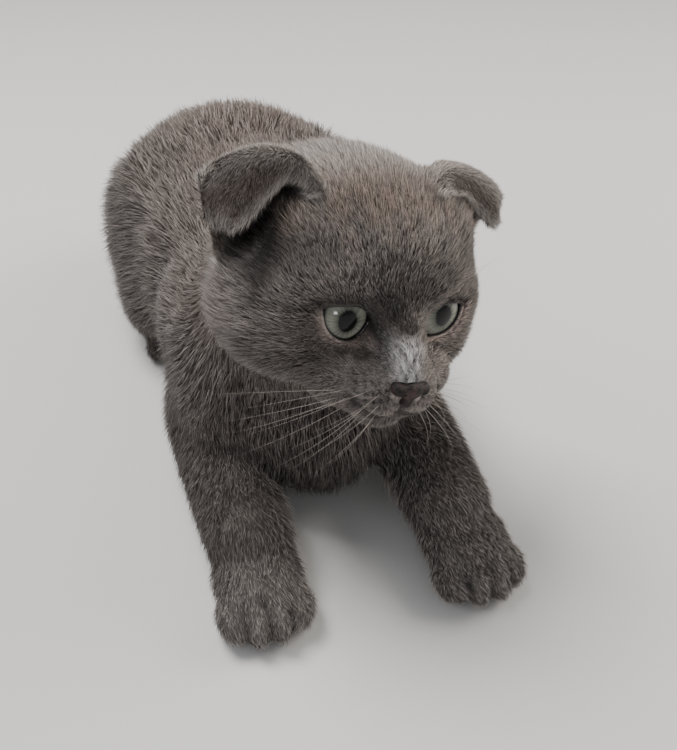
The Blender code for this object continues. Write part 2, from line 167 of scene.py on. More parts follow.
# The crest and the free edge of each folded ear, and the painted shade of the dark inner side that shows
# beside the left one's edge, from the inner to the outer end, in mm in the head's frame
EAR_CREST = {
    "right": (
        (18, -2, 23.8),
        (20, 0.8, 25.4),
        (24, 1.8, 26.8),
        (30, 2.6, 26.4),
        (36.4, 3, 23.2),
        (40.6, 3.8, 18.8),
    ),
    "left": (
        (17, -1, 23.6),
        (20, 2, 25),
        (26, 3.8, 24.8),
        (31.5, 4, 23.2),
        (36.2, 3.4, 21),
        (39.8, 2.8, 17.8),
    ),
}
EAR_EDGE = {
    "right": (
        (17.5, -8.5, 21.4),
        (20.5, -5.4, 23.2),
        (24, -3, 23.8),
        (28.8, -4.2, 19.2),
        (33.8, -6, 13.6),
        (39.2, 0, 12),
    ),
    "left": (
        (15, -6, 22.4),
        (18.5, -3, 23.2),
        (23.5, -2.6, 21.8),
        (28.5, -4.6, 18.8),
        (33.2, -6.5, 16),
        (37.2, -1.5, 14.8),
    ),
}
EAR_SHADE = {
    "right": (),
    "left": ((13.3, -6, 20), (16.8, -3, 20.8), (21.8, -2.6, 19.4), (26.8, -4.6, 16.4), (31.5, -6.5, 13.6)),
}
# The ears' lines are compared with the skin as seen along this direction in the head's frame
SEEN = HEAD_TURN.transposed() @ Vector((-0.12, -0.87, 0.48)).normalized()

# Spots round each ear with longer or other hairs, or with painted shade in the hollow: middle and half width,
# in mm in the head's frame
BEHIND_EAR = ((33, 9, 2), (5, 6, 11))
EAR_CORNER = ((24, -9.5, 17), (4, 4, 3.5))
EAR_HOLLOW = ((29, 1.5, 7), (6, 5.5, 6))
EAR_TIP = ((37, 0, 10), (3.5, math.inf, 4))

# The line of the mouth and the groove over it, as x away from the middle and z, in mm in the head's frame
MOUTH_LINE = ((12.2, -13.0), (10.2, -14.3), (7.8, -15.8), (5.0, -16.8), (2.2, -16.6), (0, -15.6))
MOUTH_GROOVE = ((0, -12.3), (0, -15.6))
MUZZLE_BACK = -22

# The middle of each forepaw's sole, in mm, and how far its toes turn to the kitten's left, in radians
FOREPAWS = ((30.1, -54.5, math.radians(4)), (-26.4, -51.5, math.radians(-1)))
TOE_GROOVES = (-6.3, 0, 6.3)

# Marks on the face: colour, strength, half width in mm, and a line of x away from the middle and z in mm
FACE_MARKS = (
    ("dark", 0.95, 1.1, ((19.4, 3.2), (23.6, 2.0), (26, 0.9), (29, -1.5))),
    ("dark", 0.45, 1.3, ((17, -7.5), (22, -9.5), (29, -10))),
    ("dark", 0.55, 1.6, ((24, -13.5), (30, -11))),
    ("dark", 0.95, 2.2, ((6.9, 8.2), (3.7, 6.2))),
    ("dark", 1.0, 1.35, ((6.3, -0.2), (5.2, -3.5), (4.7, -6.2))),
    ("dark", 0.85, 1.9, ((11.5, 9.8), (7.2, 13.8), (8.7, 16), (10.6, 19.5))),
    ("dark", 0.70, 1.5, ((2.2, 11), (2.8, 16), (3.6, 21))),
    ("dark", 0.60, 1.6, ((16.5, 13.5), (17.5, 18), (18, 22))),
    ("dark", 0.75, 4.2, ((23.5, 14.5), (26.5, 8.5))),
    ("pale", 0.60, 0.9, ((10.1, 7.8), (8.4, 4.5), (6.5, 1.7), (5.9, -0.4))),
)

# The layers of the coat. Hairs have their stated width at the typical length, in mm, rise from the skin at a
# slope in radians, and gather by a share of the way to the middle of their lock, whose size is in metres.
LAYERS = {
    "body": {"pieces": 4, "typical": 6.0, "rise": 0.74, "gather": 0.16, "lock": 0.0036},
    "limb": {"pieces": 2, "typical": 3.5, "rise": 0.66, "gather": 0.30, "lock": 0.0021},
    "head": {"pieces": 4, "typical": 3.0, "rise": 0.58, "gather": 0.14, "lock": 0.0024},
}
# Where a hair bends, as a share of its length, and its slope past there, as a share of its slope at the root
BEND = 0.42
SLOPE_PAST_BEND = 0.42
STRAY = 0.26
# Each hair's patch on the map is this wide and high
PATCH = 0.0012
# What the hairs don't keep once they are grown
USED_UP = (
    *("root", "up", "root_map", "grow", "spin", "stray", "lock"),
    *("lie", "hair_length", "hair_width", "round"),
    *("share", "on_head", "on_ear", "on_limb", "on_paw"),
)

WHISKER_STEPS = 14
WHISKER = 0.12 * MM
BROW_WHISKER = 0.10 * MM

CAMERA_AT = (-0.051, -0.210, 0.203)
CAMERA_AZIMUTH = math.radians(-16.2)
CAMERA_ELEVATION = math.radians(38.5)
AIM = (0, 0, 0.06)
# Each light's place, its watts as a share of the main one's, its size and its colour
LIGHTS = {
    "key": ((-0.20, 0.23, 0.70), 1, 0.34, (1, 0.985, 0.96)),
    "fill": ((-0.62, 0.02, 0.36), 0.16, 0.40, (0.95, 0.97, 1)),
    "side": ((0.58, 0.02, 0.40), 0.50, 0.4, (1, 0.94, 0.87)),
    "window": ((-0.045, -0.62, 0.118), 0.095, 0.078, (1, 1, 1)),
}


def width_property(name, description, width):
    return FloatProperty(
        name=name, description=description, default=width * MM, min=0, unit="LENGTH", precision=5
    )


def colour_property(name, description, colour):
    return FloatVectorProperty(name=name, description=description, subtype="COLOR", size=3, default=colour)


class KittenCoat(PropertyGroup):
    """The coat's density and colours."""

    body_hairs: IntProperty(name="Body hairs", description="Hairs on the body", default=93000, min=1000)
    limb_hairs: IntProperty(name="Limb hairs", description="Hairs on legs and paws", default=62000, min=1000)
    head_hairs: IntProperty(name="Head hairs", description="Hairs on the head", default=170000, min=1000)
    body_width: width_property("Body hair width", "Widest part of a body hair", 0.27)
    limb_width: width_property("Limb hair width", "Widest part of a hair on legs and paws", 0.22)
    head_width: width_property("Head hair width", "Widest part of a hair on the head", 0.21)
    seed: IntProperty(name="Seed", description="Seed of the coat's chance", default=7)
    grey: colour_property("Grey", "Main colour", (0.150, 0.125, 0.113))
    brown: colour_property("Brown", "Warm colour of the brow, the spine and the ears", (0.165, 0.118, 0.093))
    # Dark is also used as painted shade: in the ears' hollows and beside the left ear's edge, low on the
    # flanks, on the chest, under the chin and between the toes
    dark: colour_property("Dark", "Stripes, spots, hollows and lines", (0.052, 0.044, 0.042))
    silver: colour_property("Silver", "Pale hair tips", (0.52, 0.475, 0.44))


class KittenEyes(PropertyGroup):
    """The eyes' sizes and colours."""

    opening: FloatProperty(
        name="Opening", description="Opening between the lids, 1 as in the solids", default=1.0, min=0.5
    )
    iris: FloatProperty(name="Iris", description="Iris over eye radius", default=0.60, min=0, max=1)
    pupil: FloatProperty(name="Pupil", description="Pupil over eye radius", default=0.272, min=0, max=1)
    iris_pale: colour_property("Iris, pale", "Outer iris", (0.225, 0.230, 0.195))
    iris_deep: colour_property("Iris, deep", "Iris round the pupil", (0.120, 0.126, 0.104))


class KittenStage(PropertyGroup):
    """The floor, the lights and the camera."""

    floor: colour_property("Floor", "Floor colour", (0.60, 0.59, 0.58))
    key: FloatProperty(name="Key", description="Strength of the main light, in watts", default=7.5, min=0)
    lens: FloatProperty(
        name="Lens", description="Focal length for a 36 mm wide frame", default=948 * 36 / 677, min=1
    )


# Objects and meshes


def link(obj):
    bpy.context.scene.collection.objects.link(obj)
    return obj


def object_of(name, mesh):
    return link(bpy.data.objects.new(name, mesh))


def object_from(name, shape):
    """An object with the faces of the bmesh, which is freed."""
    mesh = bpy.data.meshes.new(name)
    shape.to_mesh(mesh)
    shape.free()
    return object_of(name, mesh)


def bmesh_of(mesh):
    shape = bmesh.new()
    shape.from_mesh(mesh)
    return shape


def evaluated_mesh(obj):
    """A plain mesh of what the object's modifiers make."""
    bpy.context.view_layer.update()
    graph = bpy.context.evaluated_depsgraph_get()
    return bpy.data.meshes.new_from_object(obj.evaluated_get(graph))


def applied(obj):
    """Swaps the object's mesh for the one that its modifiers make, and drops the modifiers."""
    mesh = evaluated_mesh(obj)
    obj.modifiers.clear()
    old = obj.data
    obj.data = mesh
    bpy.data.meshes.remove(old)
    return obj


def welded(name, node):
    """A copy of a solid whose loose triangles are merged by the next applied()."""
    copy = object_of(name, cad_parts[node].data.copy())
    copy.modifiers.new("weld", "WELD").merge_threshold = 0.01 * MM
    return copy


def fused(obj, voxel, rounds):
    """Remeshes the object into one closed, softened form."""
    fuse = obj.modifiers.new("fuse", "REMESH")
    fuse.mode = "VOXEL"
    fuse.voxel_size = voxel
    obj.modifiers.new("soften", "SMOOTH").iterations = rounds
    return applied(obj)


def smoothed(obj):
    for face in obj.data.polygons:
        face.use_smooth = True
    return obj


def points_of(mesh):
    points = np.empty(len(mesh.vertices) * 3)
    mesh.vertices.foreach_get("co", points)
    return points.reshape(-1, 3)


def normals_of(mesh):
    normals = np.empty(len(mesh.vertices) * 3, np.float32)
    mesh.vertex_normals.foreach_get("vector", normals)
    return normals.reshape(-1, 3).astype(float)


def set_points(mesh, points):
    mesh.vertices.foreach_set("co", np.ascontiguousarray(points, np.float32).ravel())
    mesh.update()


def store(mesh, name, kind, values):
    """Keeps values at the vertices, in place of any of that name."""
    if name in mesh.attributes:
        mesh.attributes.remove(mesh.attributes[name])
    attribute = mesh.attributes.new(name, kind, "POINT")
    key = {"FLOAT": "value", "FLOAT_VECTOR": "vector", "FLOAT_COLOR": "color"}[kind]
    attribute.data.foreach_set(key, np.ascontiguousarray(values, np.float32).ravel())


def values_of(mesh, name):
    values = np.empty(len(mesh.vertices), np.float32)
    mesh.attributes[name].data.foreach_get("value", values)
    return values.astype(float)


# Numbers over many points


def unit(vectors):
    return vectors / np.maximum(np.linalg.norm(vectors, axis=1, keepdims=True), 1e-9)


def ways(x, y, z):
    """Directions from three numbers or rows, at least one of them a row."""
    return np.stack(np.broadcast_arrays(x, y, z), 1).astype(float)


def in_head(points):
    """Points in the head's frame, in mm."""
    return (points - np.array(HEAD_AT)) @ np.array(HEAD_TURN) / MM


def from_head(vectors):
    """Directions in the head's frame, turned into the row frame."""
    return vectors @ np.array(HEAD_TURN).T


def in_eye(points, side):
    """Points in the eye's frame, in metres."""
    place = np.array(eye_frame(side).inverted())
    return points @ place[:3, :3].T + place[:3, 3]


def bump(values, centre, width):
    """1 at the centre, falling to 0 on both sides."""
    return np.exp(-(((values - centre) / width) ** 2))


def ramp(values, start, end):
    """0 before the start and 1 past the end, which may be below it, with a straight rise between them."""
    return np.clip((values - start) / (end - start), 0, 1)


def eased(share):
    return share * share * (3 - 2 * share)


def near_spot(q, spot):
    """1 at a spot on each side of the head, falling to 0 away from it."""
    middle, half_width = spot
    folded = np.column_stack((np.abs(q[:, 0]), q[:, 1:]))
    return np.exp(-(((folded - middle) / half_width) ** 2).sum(1))


def from_line(points, run):
    """Distance from each point to the line through the points of run."""
    run = np.array(run, float)
    nearest = np.full(len(points), 99.0)
    for a, b in zip(run, run[1:]):
        along = np.clip(((points - a) @ (b - a)) / ((b - a) @ (b - a)), 0, 1)
        nearest = np.minimum(nearest, np.linalg.norm(points - a - along[:, None] * (b - a), axis=1))
    return nearest


def ripple(points, size, seed):
    """Smooth chance between about -1 and 1, with features of this size, in the units of the points."""
    chance = np.random.default_rng(seed)
    total = np.zeros(len(points))
    for _ in range(9):
        way = chance.normal(size=3)
        way *= chance.uniform(0.6, 1.6) * 2 * math.pi / size / np.linalg.norm(way)
        total += np.sin(points @ way + chance.uniform(0, 2 * math.pi))
    return total / 3


def spread_over(points, spots):
    """Depth and length at points in mm, from the nearest spots."""
    spots = np.array(spots, float)
    folded = points.copy()
    folded[:, 0] = np.abs(folded[:, 0])
    away = ((folded[:, None, :] - spots[None, :, :3]) ** 2).sum(2)
    weight = 1 / (away + 16) ** 2
    weight /= weight.sum(1, keepdims=True)
    return weight @ spots[:, 3:]


def neighbours(mesh):
    """The two vertices of each edge."""
    ends = np.empty(len(mesh.edges) * 2, np.int32)
    mesh.edges.foreach_get("vertices", ends)
    return ends.reshape(-1, 2)


def relaxed(values, ends, rounds):
    """Values at the vertices, each drawn towards the mean of its neighbours."""
    count = len(values)
    flat = values.reshape(count, -1).copy()
    degree = np.bincount(ends.ravel(), minlength=count)[:, None]
    for _ in range(rounds):
        total = np.empty_like(flat)
        for k in range(flat.shape[1]):
            forth = np.bincount(ends[:, 0], flat[ends[:, 1], k], count)
            back = np.bincount(ends[:, 1], flat[ends[:, 0], k], count)
            total[:, k] = forth + back
        flat = 0.5 * flat + 0.5 * total / np.maximum(degree, 1)
    return flat.reshape(values.shape)


def vertex_areas(mesh):
    """The area that each vertex stands for."""
    areas = np.empty(len(mesh.polygons))
    mesh.polygons.foreach_get("area", areas)
    sizes = np.empty(len(mesh.polygons), np.int32)
    mesh.polygons.foreach_get("loop_total", sizes)
    corners = np.empty(len(mesh.loops), np.int32)
    mesh.loops.foreach_get("vertex_index", corners)
    return np.bincount(corners, np.repeat(areas / sizes, sizes), len(mesh.vertices))


# Node trees


class Nodes:
    """Adds nodes to a tree, and links or sets their inputs."""

    def __init__(self, tree):
        self.tree = tree
        self.nodes, self.links = tree.nodes, tree.links

    def feed(self, socket, value):
        if isinstance(value, bpy.types.NodeSocket):
            self.links.new(value, socket)
        else:
            socket.default_value = value

    def node(self, kind, inputs=(), **settings):
        node = self.nodes.new(kind)
        for key, value in settings.items():
            setattr(node, key, value)
        for key, value in dict(inputs).items():
            self.feed(node.inputs[key], value)
        return node

    def math(self, operation, *values):
        return self.node("ShaderNodeMath", enumerate(values), operation=operation).outputs[0]

    def vector(self, operation, *values, out="Vector"):
        return self.node("ShaderNodeVectorMath", enumerate(values), operation=operation).outputs[out]

    def scaled(self, vector, amount):
        inputs = {0: vector, "Scale": amount}
        return self.node("ShaderNodeVectorMath", inputs, operation="SCALE").outputs["Vector"]


class Shader(Nodes):
    """A material's nodes, round its own shader."""

    def __init__(self, name):
        self.mat = bpy.data.materials.new(name)
        self.mat.use_nodes = True
        super().__init__(self.mat.node_tree)

    def attribute(self, name, out):
        return self.node("ShaderNodeAttribute", attribute_name=name).outputs[out]

    def object_place(self):
        return self.node("ShaderNodeTexCoord").outputs["Object"]

    def noise(self, place, scale, **inputs):
        return self.node("ShaderNodeTexNoise", {"Vector": place, "Scale": scale, **inputs}).outputs["Fac"]

    def ranged(self, value, low, high, to_low, to_high):
        inputs = {"Value": value, "From Min": low, "From Max": high, "To Min": to_low, "To Max": to_high}
        return self.node("ShaderNodeMapRange", inputs).outputs["Result"]

    def mixed(self, factor, a, b, blend="MIX"):
        inputs = {"Factor": factor, "A": a, "B": b}
        return self.node("ShaderNodeMix", inputs, data_type="RGBA", blend_type=blend).outputs["Result"]

    def ringed(self, value, stops):
        """Colours at places along the value, each stop a place and a colour."""
        node = self.node("ShaderNodeValToRGB", {"Fac": value})
        elements = node.color_ramp.elements
        while len(elements) < len(stops):
            elements.new(0.5)
        for element, (where, colour) in zip(elements, stops):
            element.position = where
            element.color = (*colour, 1)
        return node.outputs["Color"]

    def relief(self, height, strength, distance):
        inputs = {"Strength": strength, "Distance": distance, "Height": height}
        return self.node("ShaderNodeBump", inputs).outputs["Normal"]

    def finished(self, **looks):
        """Feeds the shader's inputs, written with _ for a space, and gives the material."""
        for key, value in looks.items():
            self.feed(self.nodes["Principled BSDF"].inputs[key.replace("_", " ")], value)
        return self.mat


class Growth(Nodes):
    """A geometry node tree with named inputs."""

    def __init__(self, name):
        super().__init__(bpy.data.node_groups.new(name, "GeometryNodeTree"))
        face = self.tree.interface
        face.new_socket("Geometry", in_out="OUTPUT", socket_type="NodeSocketGeometry")
        face.new_socket("Geometry", in_out="INPUT", socket_type="NodeSocketGeometry")
        self.start = self.nodes.new("NodeGroupInput")
        self.end = self.nodes.new("NodeGroupOutput")
        self.names = {}

    def input(self, name, kind, default):
        socket = self.tree.interface.new_socket(name, in_out="INPUT", socket_type=kind)
        socket.default_value = default
        self.names[name] = socket.identifier
        return self.start.outputs[name]

    def geometry(self, kind, inputs, out="Geometry", **settings):
        return self.node(kind, inputs, **settings).outputs[out]

    def read(self, name, kind="FLOAT"):
        node = self.node("GeometryNodeInputNamedAttribute", {"Name": name}, data_type=kind)
        return node.outputs["Attribute"]

    def keep(self, geometry, name, value, kind="FLOAT", domain="POINT"):
        inputs = {"Geometry": geometry, "Name": name}
        node = self.node("GeometryNodeStoreNamedAttribute", inputs, data_type=kind, domain=domain)
        self.feed(node.inputs["Value"], value)
        return node.outputs["Geometry"]

    def keep_vector(self, geometry, name, value):
        return self.keep(geometry, name, value, "FLOAT_VECTOR")

    def drop(self, geometry, name):
        return self.geometry("GeometryNodeRemoveAttribute", {"Geometry": geometry, "Name": name})

    def chance(self, low, high, seed, kind="FLOAT"):
        node = self.node("FunctionNodeRandomValue", data_type=kind)
        lowest, highest = (s for s in node.inputs if s.enabled and s.name in ("Min", "Max"))
        self.feed(lowest, low)
        self.feed(highest, high)
        self.feed(node.inputs["Seed"], seed)
        return next(s for s in node.outputs if s.enabled)


# Lids


def eye_frame(side):
    """The eye's frame, from its centre, with y away from what it looks at."""
    sign = SIDES[side]
    turn = Euler((0, sign * math.radians(-6), sign * math.radians(7)), "XYZ").to_matrix()
    return Matrix.Translation(EYE_CENTRE[side]) @ (HEAD_TURN @ turn).to_4x4()


def spline(points, t):
    """A smooth curve through the points, for t from 0 to 1."""
    last = len(points) - 1
    i = min(int(t * last), last - 1)
    f = t * last - i
    p0, p1, p2, p3 = (Vector(points[max(0, min(last, i + k))]) for k in (-1, 0, 1, 2))
    square = (2 * p0 - 5 * p1 + 4 * p2 - p3) * f**2
    cube = (3 * p1 - p0 - 3 * p2 + p3) * f**3
    return 0.5 * (2 * p1 + (p2 - p0) * f + square + cube)


def lid_outline(eyes, side, scale, count):
    """The opening between the lids as x and z in the eye's frame."""
    outline = []
    for i in range(count):
        x, z = spline(LIDS + LIDS[:1], i / count) * eyes.opening * scale * MM
        outline.append((SIDES[side] * x, z))
    return outline


def on_ball(x, z, radius):
    return Vector((x, -math.sqrt(max(radius**2 - x**2 - z**2, 0)), z))


def lid_gap(points, side, eyes):
    """Points in the eye's frame, and their distance from the lids' edge as seen from the front, in metres."""
    local = in_eye(points, side)
    outline = np.array(lid_outline(eyes, side, 1.0, 48))
    gap = np.full(len(points), 1.0)
    near = np.linalg.norm(local, axis=1) < 2.5 * EYE_RADIUS
    gap[near] = np.linalg.norm(local[near][:, None, [0, 2]] - outline[None], axis=2).min(1)
    return local, gap


def thin_lids(points, eyes):
    """Lays the skin round each opening down on to the ball, so that the brow doesn't hang over it."""
    for side in SIDES:
        local, gap = lid_gap(points, side, eyes)
        away = gap / MM
        most = EYE_RADIUS + (0.75 + 0.35 * away + 0.12 * away**2) * MM
        reach = np.linalg.norm(local, axis=1)
        share = np.where(local[:, 1] < 0, np.minimum(1, most / np.maximum(reach, 1e-9)), 1)
        place = np.array(eye_frame(side))
        points = (local * share[:, None]) @ place[:3, :3].T + place[:3, 3]
    return points


def open_lids(skin, eyes):
    """Opens each eye: the skin ends in a clean edge along the lids, which turns in to the ball."""
    shape = bmesh_of(skin.data)
    for side in SIDES:
        place = eye_frame(side)
        back = place.inverted()
        outline = lid_outline(eyes, side, 1.0, 240)
        shown = [v for v in shape.verts if in_opening(back @ v.co, outline)]
        bmesh.ops.delete(shape, geom=shown, context="VERTS")
        edges = [e for e in shape.edges if e.is_boundary and (back @ e.verts[0].co).length < 2 * EYE_RADIUS]
        for vertex in {v for e in edges for v in e.verts}:
            local = back @ vertex.co
            x, z = min(outline, key=lambda spot: (spot[0] - local.x) ** 2 + (spot[1] - local.z) ** 2)
            vertex.co = place @ on_ball(x, z, LID_EDGE)
        made = bmesh.ops.extrude_edge_only(shape, edges=edges)["geom"]
        for vertex in (g for g in made if isinstance(g, bmesh.types.BMVert)):
            local = back @ vertex.co
            vertex.co = place @ on_ball(local.x * 0.96, local.z * 0.96, LID_END)
    bmesh.ops.recalc_face_normals(shape, faces=shape.faces[:])
    shape.to_mesh(skin.data)
    shape.free()


def in_opening(local, outline):
    """Whether a point in front of the eye lies within the opening, whose outline goes once round evenly."""
    if local.y > 0 or local.length > 2 * EYE_RADIUS:
        return False
    angles = [math.atan2(z, x) for x, z in outline]
    here = math.atan2(local.z, local.x)
    nearest = min(range(len(outline)), key=lambda i: abs(math.remainder(angles[i] - here, 2 * math.pi)))
    return math.hypot(local.x, local.z) < math.hypot(*outline[nearest])


# Skin


def skin_form():
    """One closed form over all nodes of flesh, with the sockets filled."""
    joined = bmesh.new()
    for name in FLESH:
        copy = welded("copy", name)
        push = copy.modifiers.new("push", "DISPLACE")
        push.mid_level = 0
        push.strength = NODE_PUSH
        applied(copy)
        joined.from_mesh(copy.data)
        bpy.data.objects.remove(copy)
    for side in SIDES:
        place = Matrix.Translation(EYE_CENTRE[side])
        bmesh.ops.create_icosphere(joined, subdivisions=4, radius=EYE_RADIUS + 1.5 * MM, matrix=place)
    behind_nose = Matrix.Translation(middle_of("nose") + HEAD_TURN @ Vector((0, 1.4 * MM, 0)))
    size = Matrix.Diagonal((4.2 * MM, 2.6 * MM, 3.6 * MM, 1))
    place = behind_nose @ HEAD_TURN.to_4x4() @ size
    bmesh.ops.create_icosphere(joined, subdivisions=3, radius=1, matrix=place)
    return fused(object_from("skin", joined), SKIN_VOXEL, 3)


def node_of_each(points):
    """The flesh node nearest to each point, as an index into FLESH."""
    places = [points_of(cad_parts[name].data) for name in FLESH]
    owners = np.repeat(np.arange(len(FLESH)), [len(found) for found in places])
    places = np.concatenate(places)
    tree = KDTree(len(places))
    for i, place in enumerate(places):
        tree.insert(place, i)
    tree.balance()
    return np.array([owners[tree.find(p)[1]] for p in points])


def share_of(node, word):
    """1 on the nodes that have the word in their names, and 0 away from them."""
    return np.isin(node, [i for i, name in enumerate(FLESH) if word in name]).astype(float)


def coat_fields(mesh, node):
    """Depth and length of the coat in metres at each vertex, and how much of the head and of an ear it is."""
    points = points_of(mesh)
    ends = neighbours(mesh)
    head = relaxed((node < len(HEAD_NODES)).astype(float), ends, 10)
    ear = relaxed(share_of(node, "ear_"), ends, 2)
    q = in_head(points)
    on_body = spread_over(points / MM, BODY_SPOTS) * (1 - head[:, None])
    values = on_body + spread_over(q, HEAD_SPOTS) * head[:, None]
    values = values * (1 - ear[:, None]) + np.array(EAR_COAT) * ear[:, None]
    depth, length = relaxed(values, ends, 4).T
    for side in SIDES:
        length = length + 1.2 * near_ear_line(q, side, EAR_EDGE, 1.3) * ear
        length = length + 0.7 * near_ear_line(q, side, EAR_CREST, 1.6) * ear
    length = length * (1 - 0.6 * bump(mouth_distance(q), 0, 1.7))
    length = length * (1 - 0.45 * toe_grooves(points))
    length = length + 2.2 * near_spot(q, BEHIND_EAR) * head * (1 - ear)
    length = length + 1.3 * near_spot(q, EAR_CORNER) * head
    length = length + 1.2 * near_spot(q, EAR_TIP) * ear
    return depth * MM, length * MM, head, ear


def toe_grooves(points):
    """1 in the grooves between the toes of the forepaws, and 0 away from them."""
    groove = np.zeros(len(points))
    wander = 0.5 * ripple(points / MM, 6, 41)
    for x, y, turn in FOREPAWS:
        across, ahead = points[:, 0] / MM - x, points[:, 1] / MM - y
        cosine, sine = math.cos(turn), math.sin(turn)
        across, ahead = across * cosine + ahead * sine, ahead * cosine - across * sine
        for middle in TOE_GROOVES:
            fan = middle * (1 - (ahead + 16) * 0.02)
            groove = np.maximum(groove, bump(across + wander, fan, 0.75) * ramp(ahead, -8, -13))
    return groove * (points[:, 2] < 30 * MM)


def near_ear_line(q, side, lines, width):
    """1 on one of the ears' lines, falling to 0 over this width in mm, as seen from the front and above."""
    if not lines[side]:
        return np.zeros(len(q))
    run = np.array(lines[side]) * (SIDES[side], 1, 1)
    seen = np.array(SEEN)
    flat = q - (q @ seen)[:, None] * seen
    flat_run = run - (run @ seen)[:, None] * seen
    return np.exp(-((from_line(flat, flat_run) / width) ** 2) - (from_line(q, run) / 8) ** 4)


def mouth_distance(q):
    """Distance in mm to the line of the mouth, seen from the front, and large away from the muzzle."""
    flat = np.stack((np.abs(q[:, 0]), q[:, 2]), 1)
    nearest = np.minimum(from_line(flat, MOUTH_LINE), from_line(flat, MOUTH_GROOVE) + 0.15)
    nearest[q[:, 1] > MUZZLE_BACK] = 99
    return nearest


def whisker_spots():
    """Where whiskers grow on a pad, as x away from the middle and z, in mm in the head's frame."""
    grid = [(row, column) for row in range(5) for column in range(5)]
    return [(4.4 + 1.5 * column + 0.1 * row, -7.0 - 1.45 * row - 0.40 * column) for row, column in grid]


def head_lie(q):
    """Hairs of the head lie away from the tip of the nose, upwards on the brow, and down the nape."""
    y, z = q[:, 1], q[:, 2]
    way = unit(q - (0, -41, -6))
    way[:, 2] += 0.35 * (y < -12) * ramp(z, 2, 12)
    way[:, 2] -= 0.5 * ramp(z, -6, -18)
    nape = ramp(y, 2, 18)[:, None]
    return from_head(unit(way) * (1 - nape) + np.array((0, 0.4, -1)) * nape)


def ear_lie(q):
    """Hairs of an ear lie up its back and down over its flap."""
    outer = np.sign(q[:, 0])
    flap = 1 / (1 + np.exp((q[:, 1] - 1.5) / 1.2))[:, None]
    return from_head(ways(0.35 * outer, 0, 1) * (1 - flap) + ways(0.45 * outer, -0.55, -0.75) * flap)


def tail_lie(p):
    """Hairs of the tail lie round its curl, and straight on past it."""
    spoke = p[:, :2] - (30, 105)
    way = ways(spoke[:, 1], -spoke[:, 0], 0)
    way[spoke[:, 1] < 0] = (0, -30, 0)
    return way


def node_lie(name, p, q):
    """The way that hairs lie on one node, for points in mm in the row frame and in the head's."""
    side, y, z = np.sign(p[:, 0]), p[:, 1], p[:, 2]
    if name == "head":
        return head_lie(q)
    if name.startswith("ear"):
        return ear_lie(q)
    if name == "neck":
        front = 1 / (1 + np.exp(y / 8))
        return ways(0.1 * side, 0.9 - 1.2 * front, -0.45 - 0.6 * front)
    if name == "torso":
        front = 1 / (1 + np.exp((y + 8) / 6))
        return ways(0, 1 - 1.2 * front, -0.15 - 0.5 * ramp(z, 70, 0) - front)
    if name.startswith("foreleg"):
        upper = ramp(z, 18, 40) * ramp(y, -22, -7)
        return ways(0.1 * side, -1 + 1.1 * upper, -0.35 - 0.6 * upper)
    if name.startswith("forepaw"):
        return ways(0.12 * side, -1, -0.25)
    if name.startswith("hind_leg"):
        return np.array((0, 0.75, -0.75))
    if name.startswith("hind_paw"):
        return np.array((0, -1, -0.2))
    return tail_lie(p)


def hair_lie(points, normals, node, ends):
    """The way that hairs lie at each vertex, along the surface."""
    p, q = points / MM, in_head(points)
    way = np.zeros_like(points)
    for index, name in enumerate(FLESH):
        here = node == index
        way[here] = node_lie(name, p[here], q[here])
    way = relaxed(unit(way), ends, 14)
    for axis, seed in enumerate((11, 12, 13)):
        way[:, axis] += 0.16 * ripple(p, 14, seed) + 0.08 * ripple(p, 5, seed + 10)
    way -= normals * (way * normals).sum(1, keepdims=True)
    return unit(way)


# Markings and painted shade


class Paint:
    """The coat's colour at each vertex, and how much of each hair's tip is silver, mixed mark by mark, with
    painted shade and a painted highlight among the marks.
    """

    def __init__(self, mesh, coat):
        self.points = points_of(mesh)
        self.p, self.q = self.points / MM, in_head(self.points)
        self.x, self.y, self.z = np.abs(self.q[:, 0]), self.q[:, 1], self.q[:, 2]
        names = ("on_head", "on_ear", "on_limb", "on_paw")
        self.head, self.ear, self.limb, self.paw = (values_of(mesh, name) for name in names)
        self.face = (self.y < -6) * self.head
        normals = normals_of(mesh)
        self.turned = normals @ np.array(HEAD_TURN @ SEEN)
        self.outward = (unit(self.q) * (normals @ np.array(HEAD_TURN))).sum(1)
        tones = (coat.grey, coat.brown, coat.dark, coat.silver)
        self.grey, self.brown, self.dark, self.silver = (np.array(tone) for tone in tones)
        self.colour = np.tile(self.grey, (len(self.p), 1))
        self.frost = 0.26 + 0.08 * self.head + 0.08 * ripple(self.p, 30, 3)

    def mix(self, other, share):
        share = np.clip(share, 0, 1)[:, None]
        self.colour = self.colour * (1 - share) + other * share

    def dapple(self, amount):
        self.colour *= (1 + amount)[:, None]


def paint_body(c):
    """Faint bands and warm along the spine, with painted shade low on the flanks, on the chest and under the
    chin.
    """
    x, y, z = c.p.T
    body = 1 - c.head
    bands = ripple(c.p * (0.35, 1, 0.35), 13, 5)
    # Painted shade: the flanks grow darker lower down
    flanks = (1 - c.limb) * ramp(z, 72, 42)
    c.mix(c.dark, body * (0.10 + 0.18 * bands + 0.25 * flanks))
    c.mix(c.brown, body * 0.6 * ramp(z, 50, 72))
    # Painted shade on the front of the neck under the chin, on the chest below the head, and low on the chest
    # between the forelegs
    c.mix(c.dark * 0.8, body * bump(x, 4, 22) * ramp(y, -22, -30) * ramp(z, 40, 48) * 0.6)
    c.mix(c.dark, body * (1 - c.paw) * bump(y, -30, 16) * ramp(z, 62, 42) * 0.30)
    c.mix(c.dark, body * bump(x, 0, 18) * bump(y, -38, 14) * ramp(z, 48, 36) * 0.85)


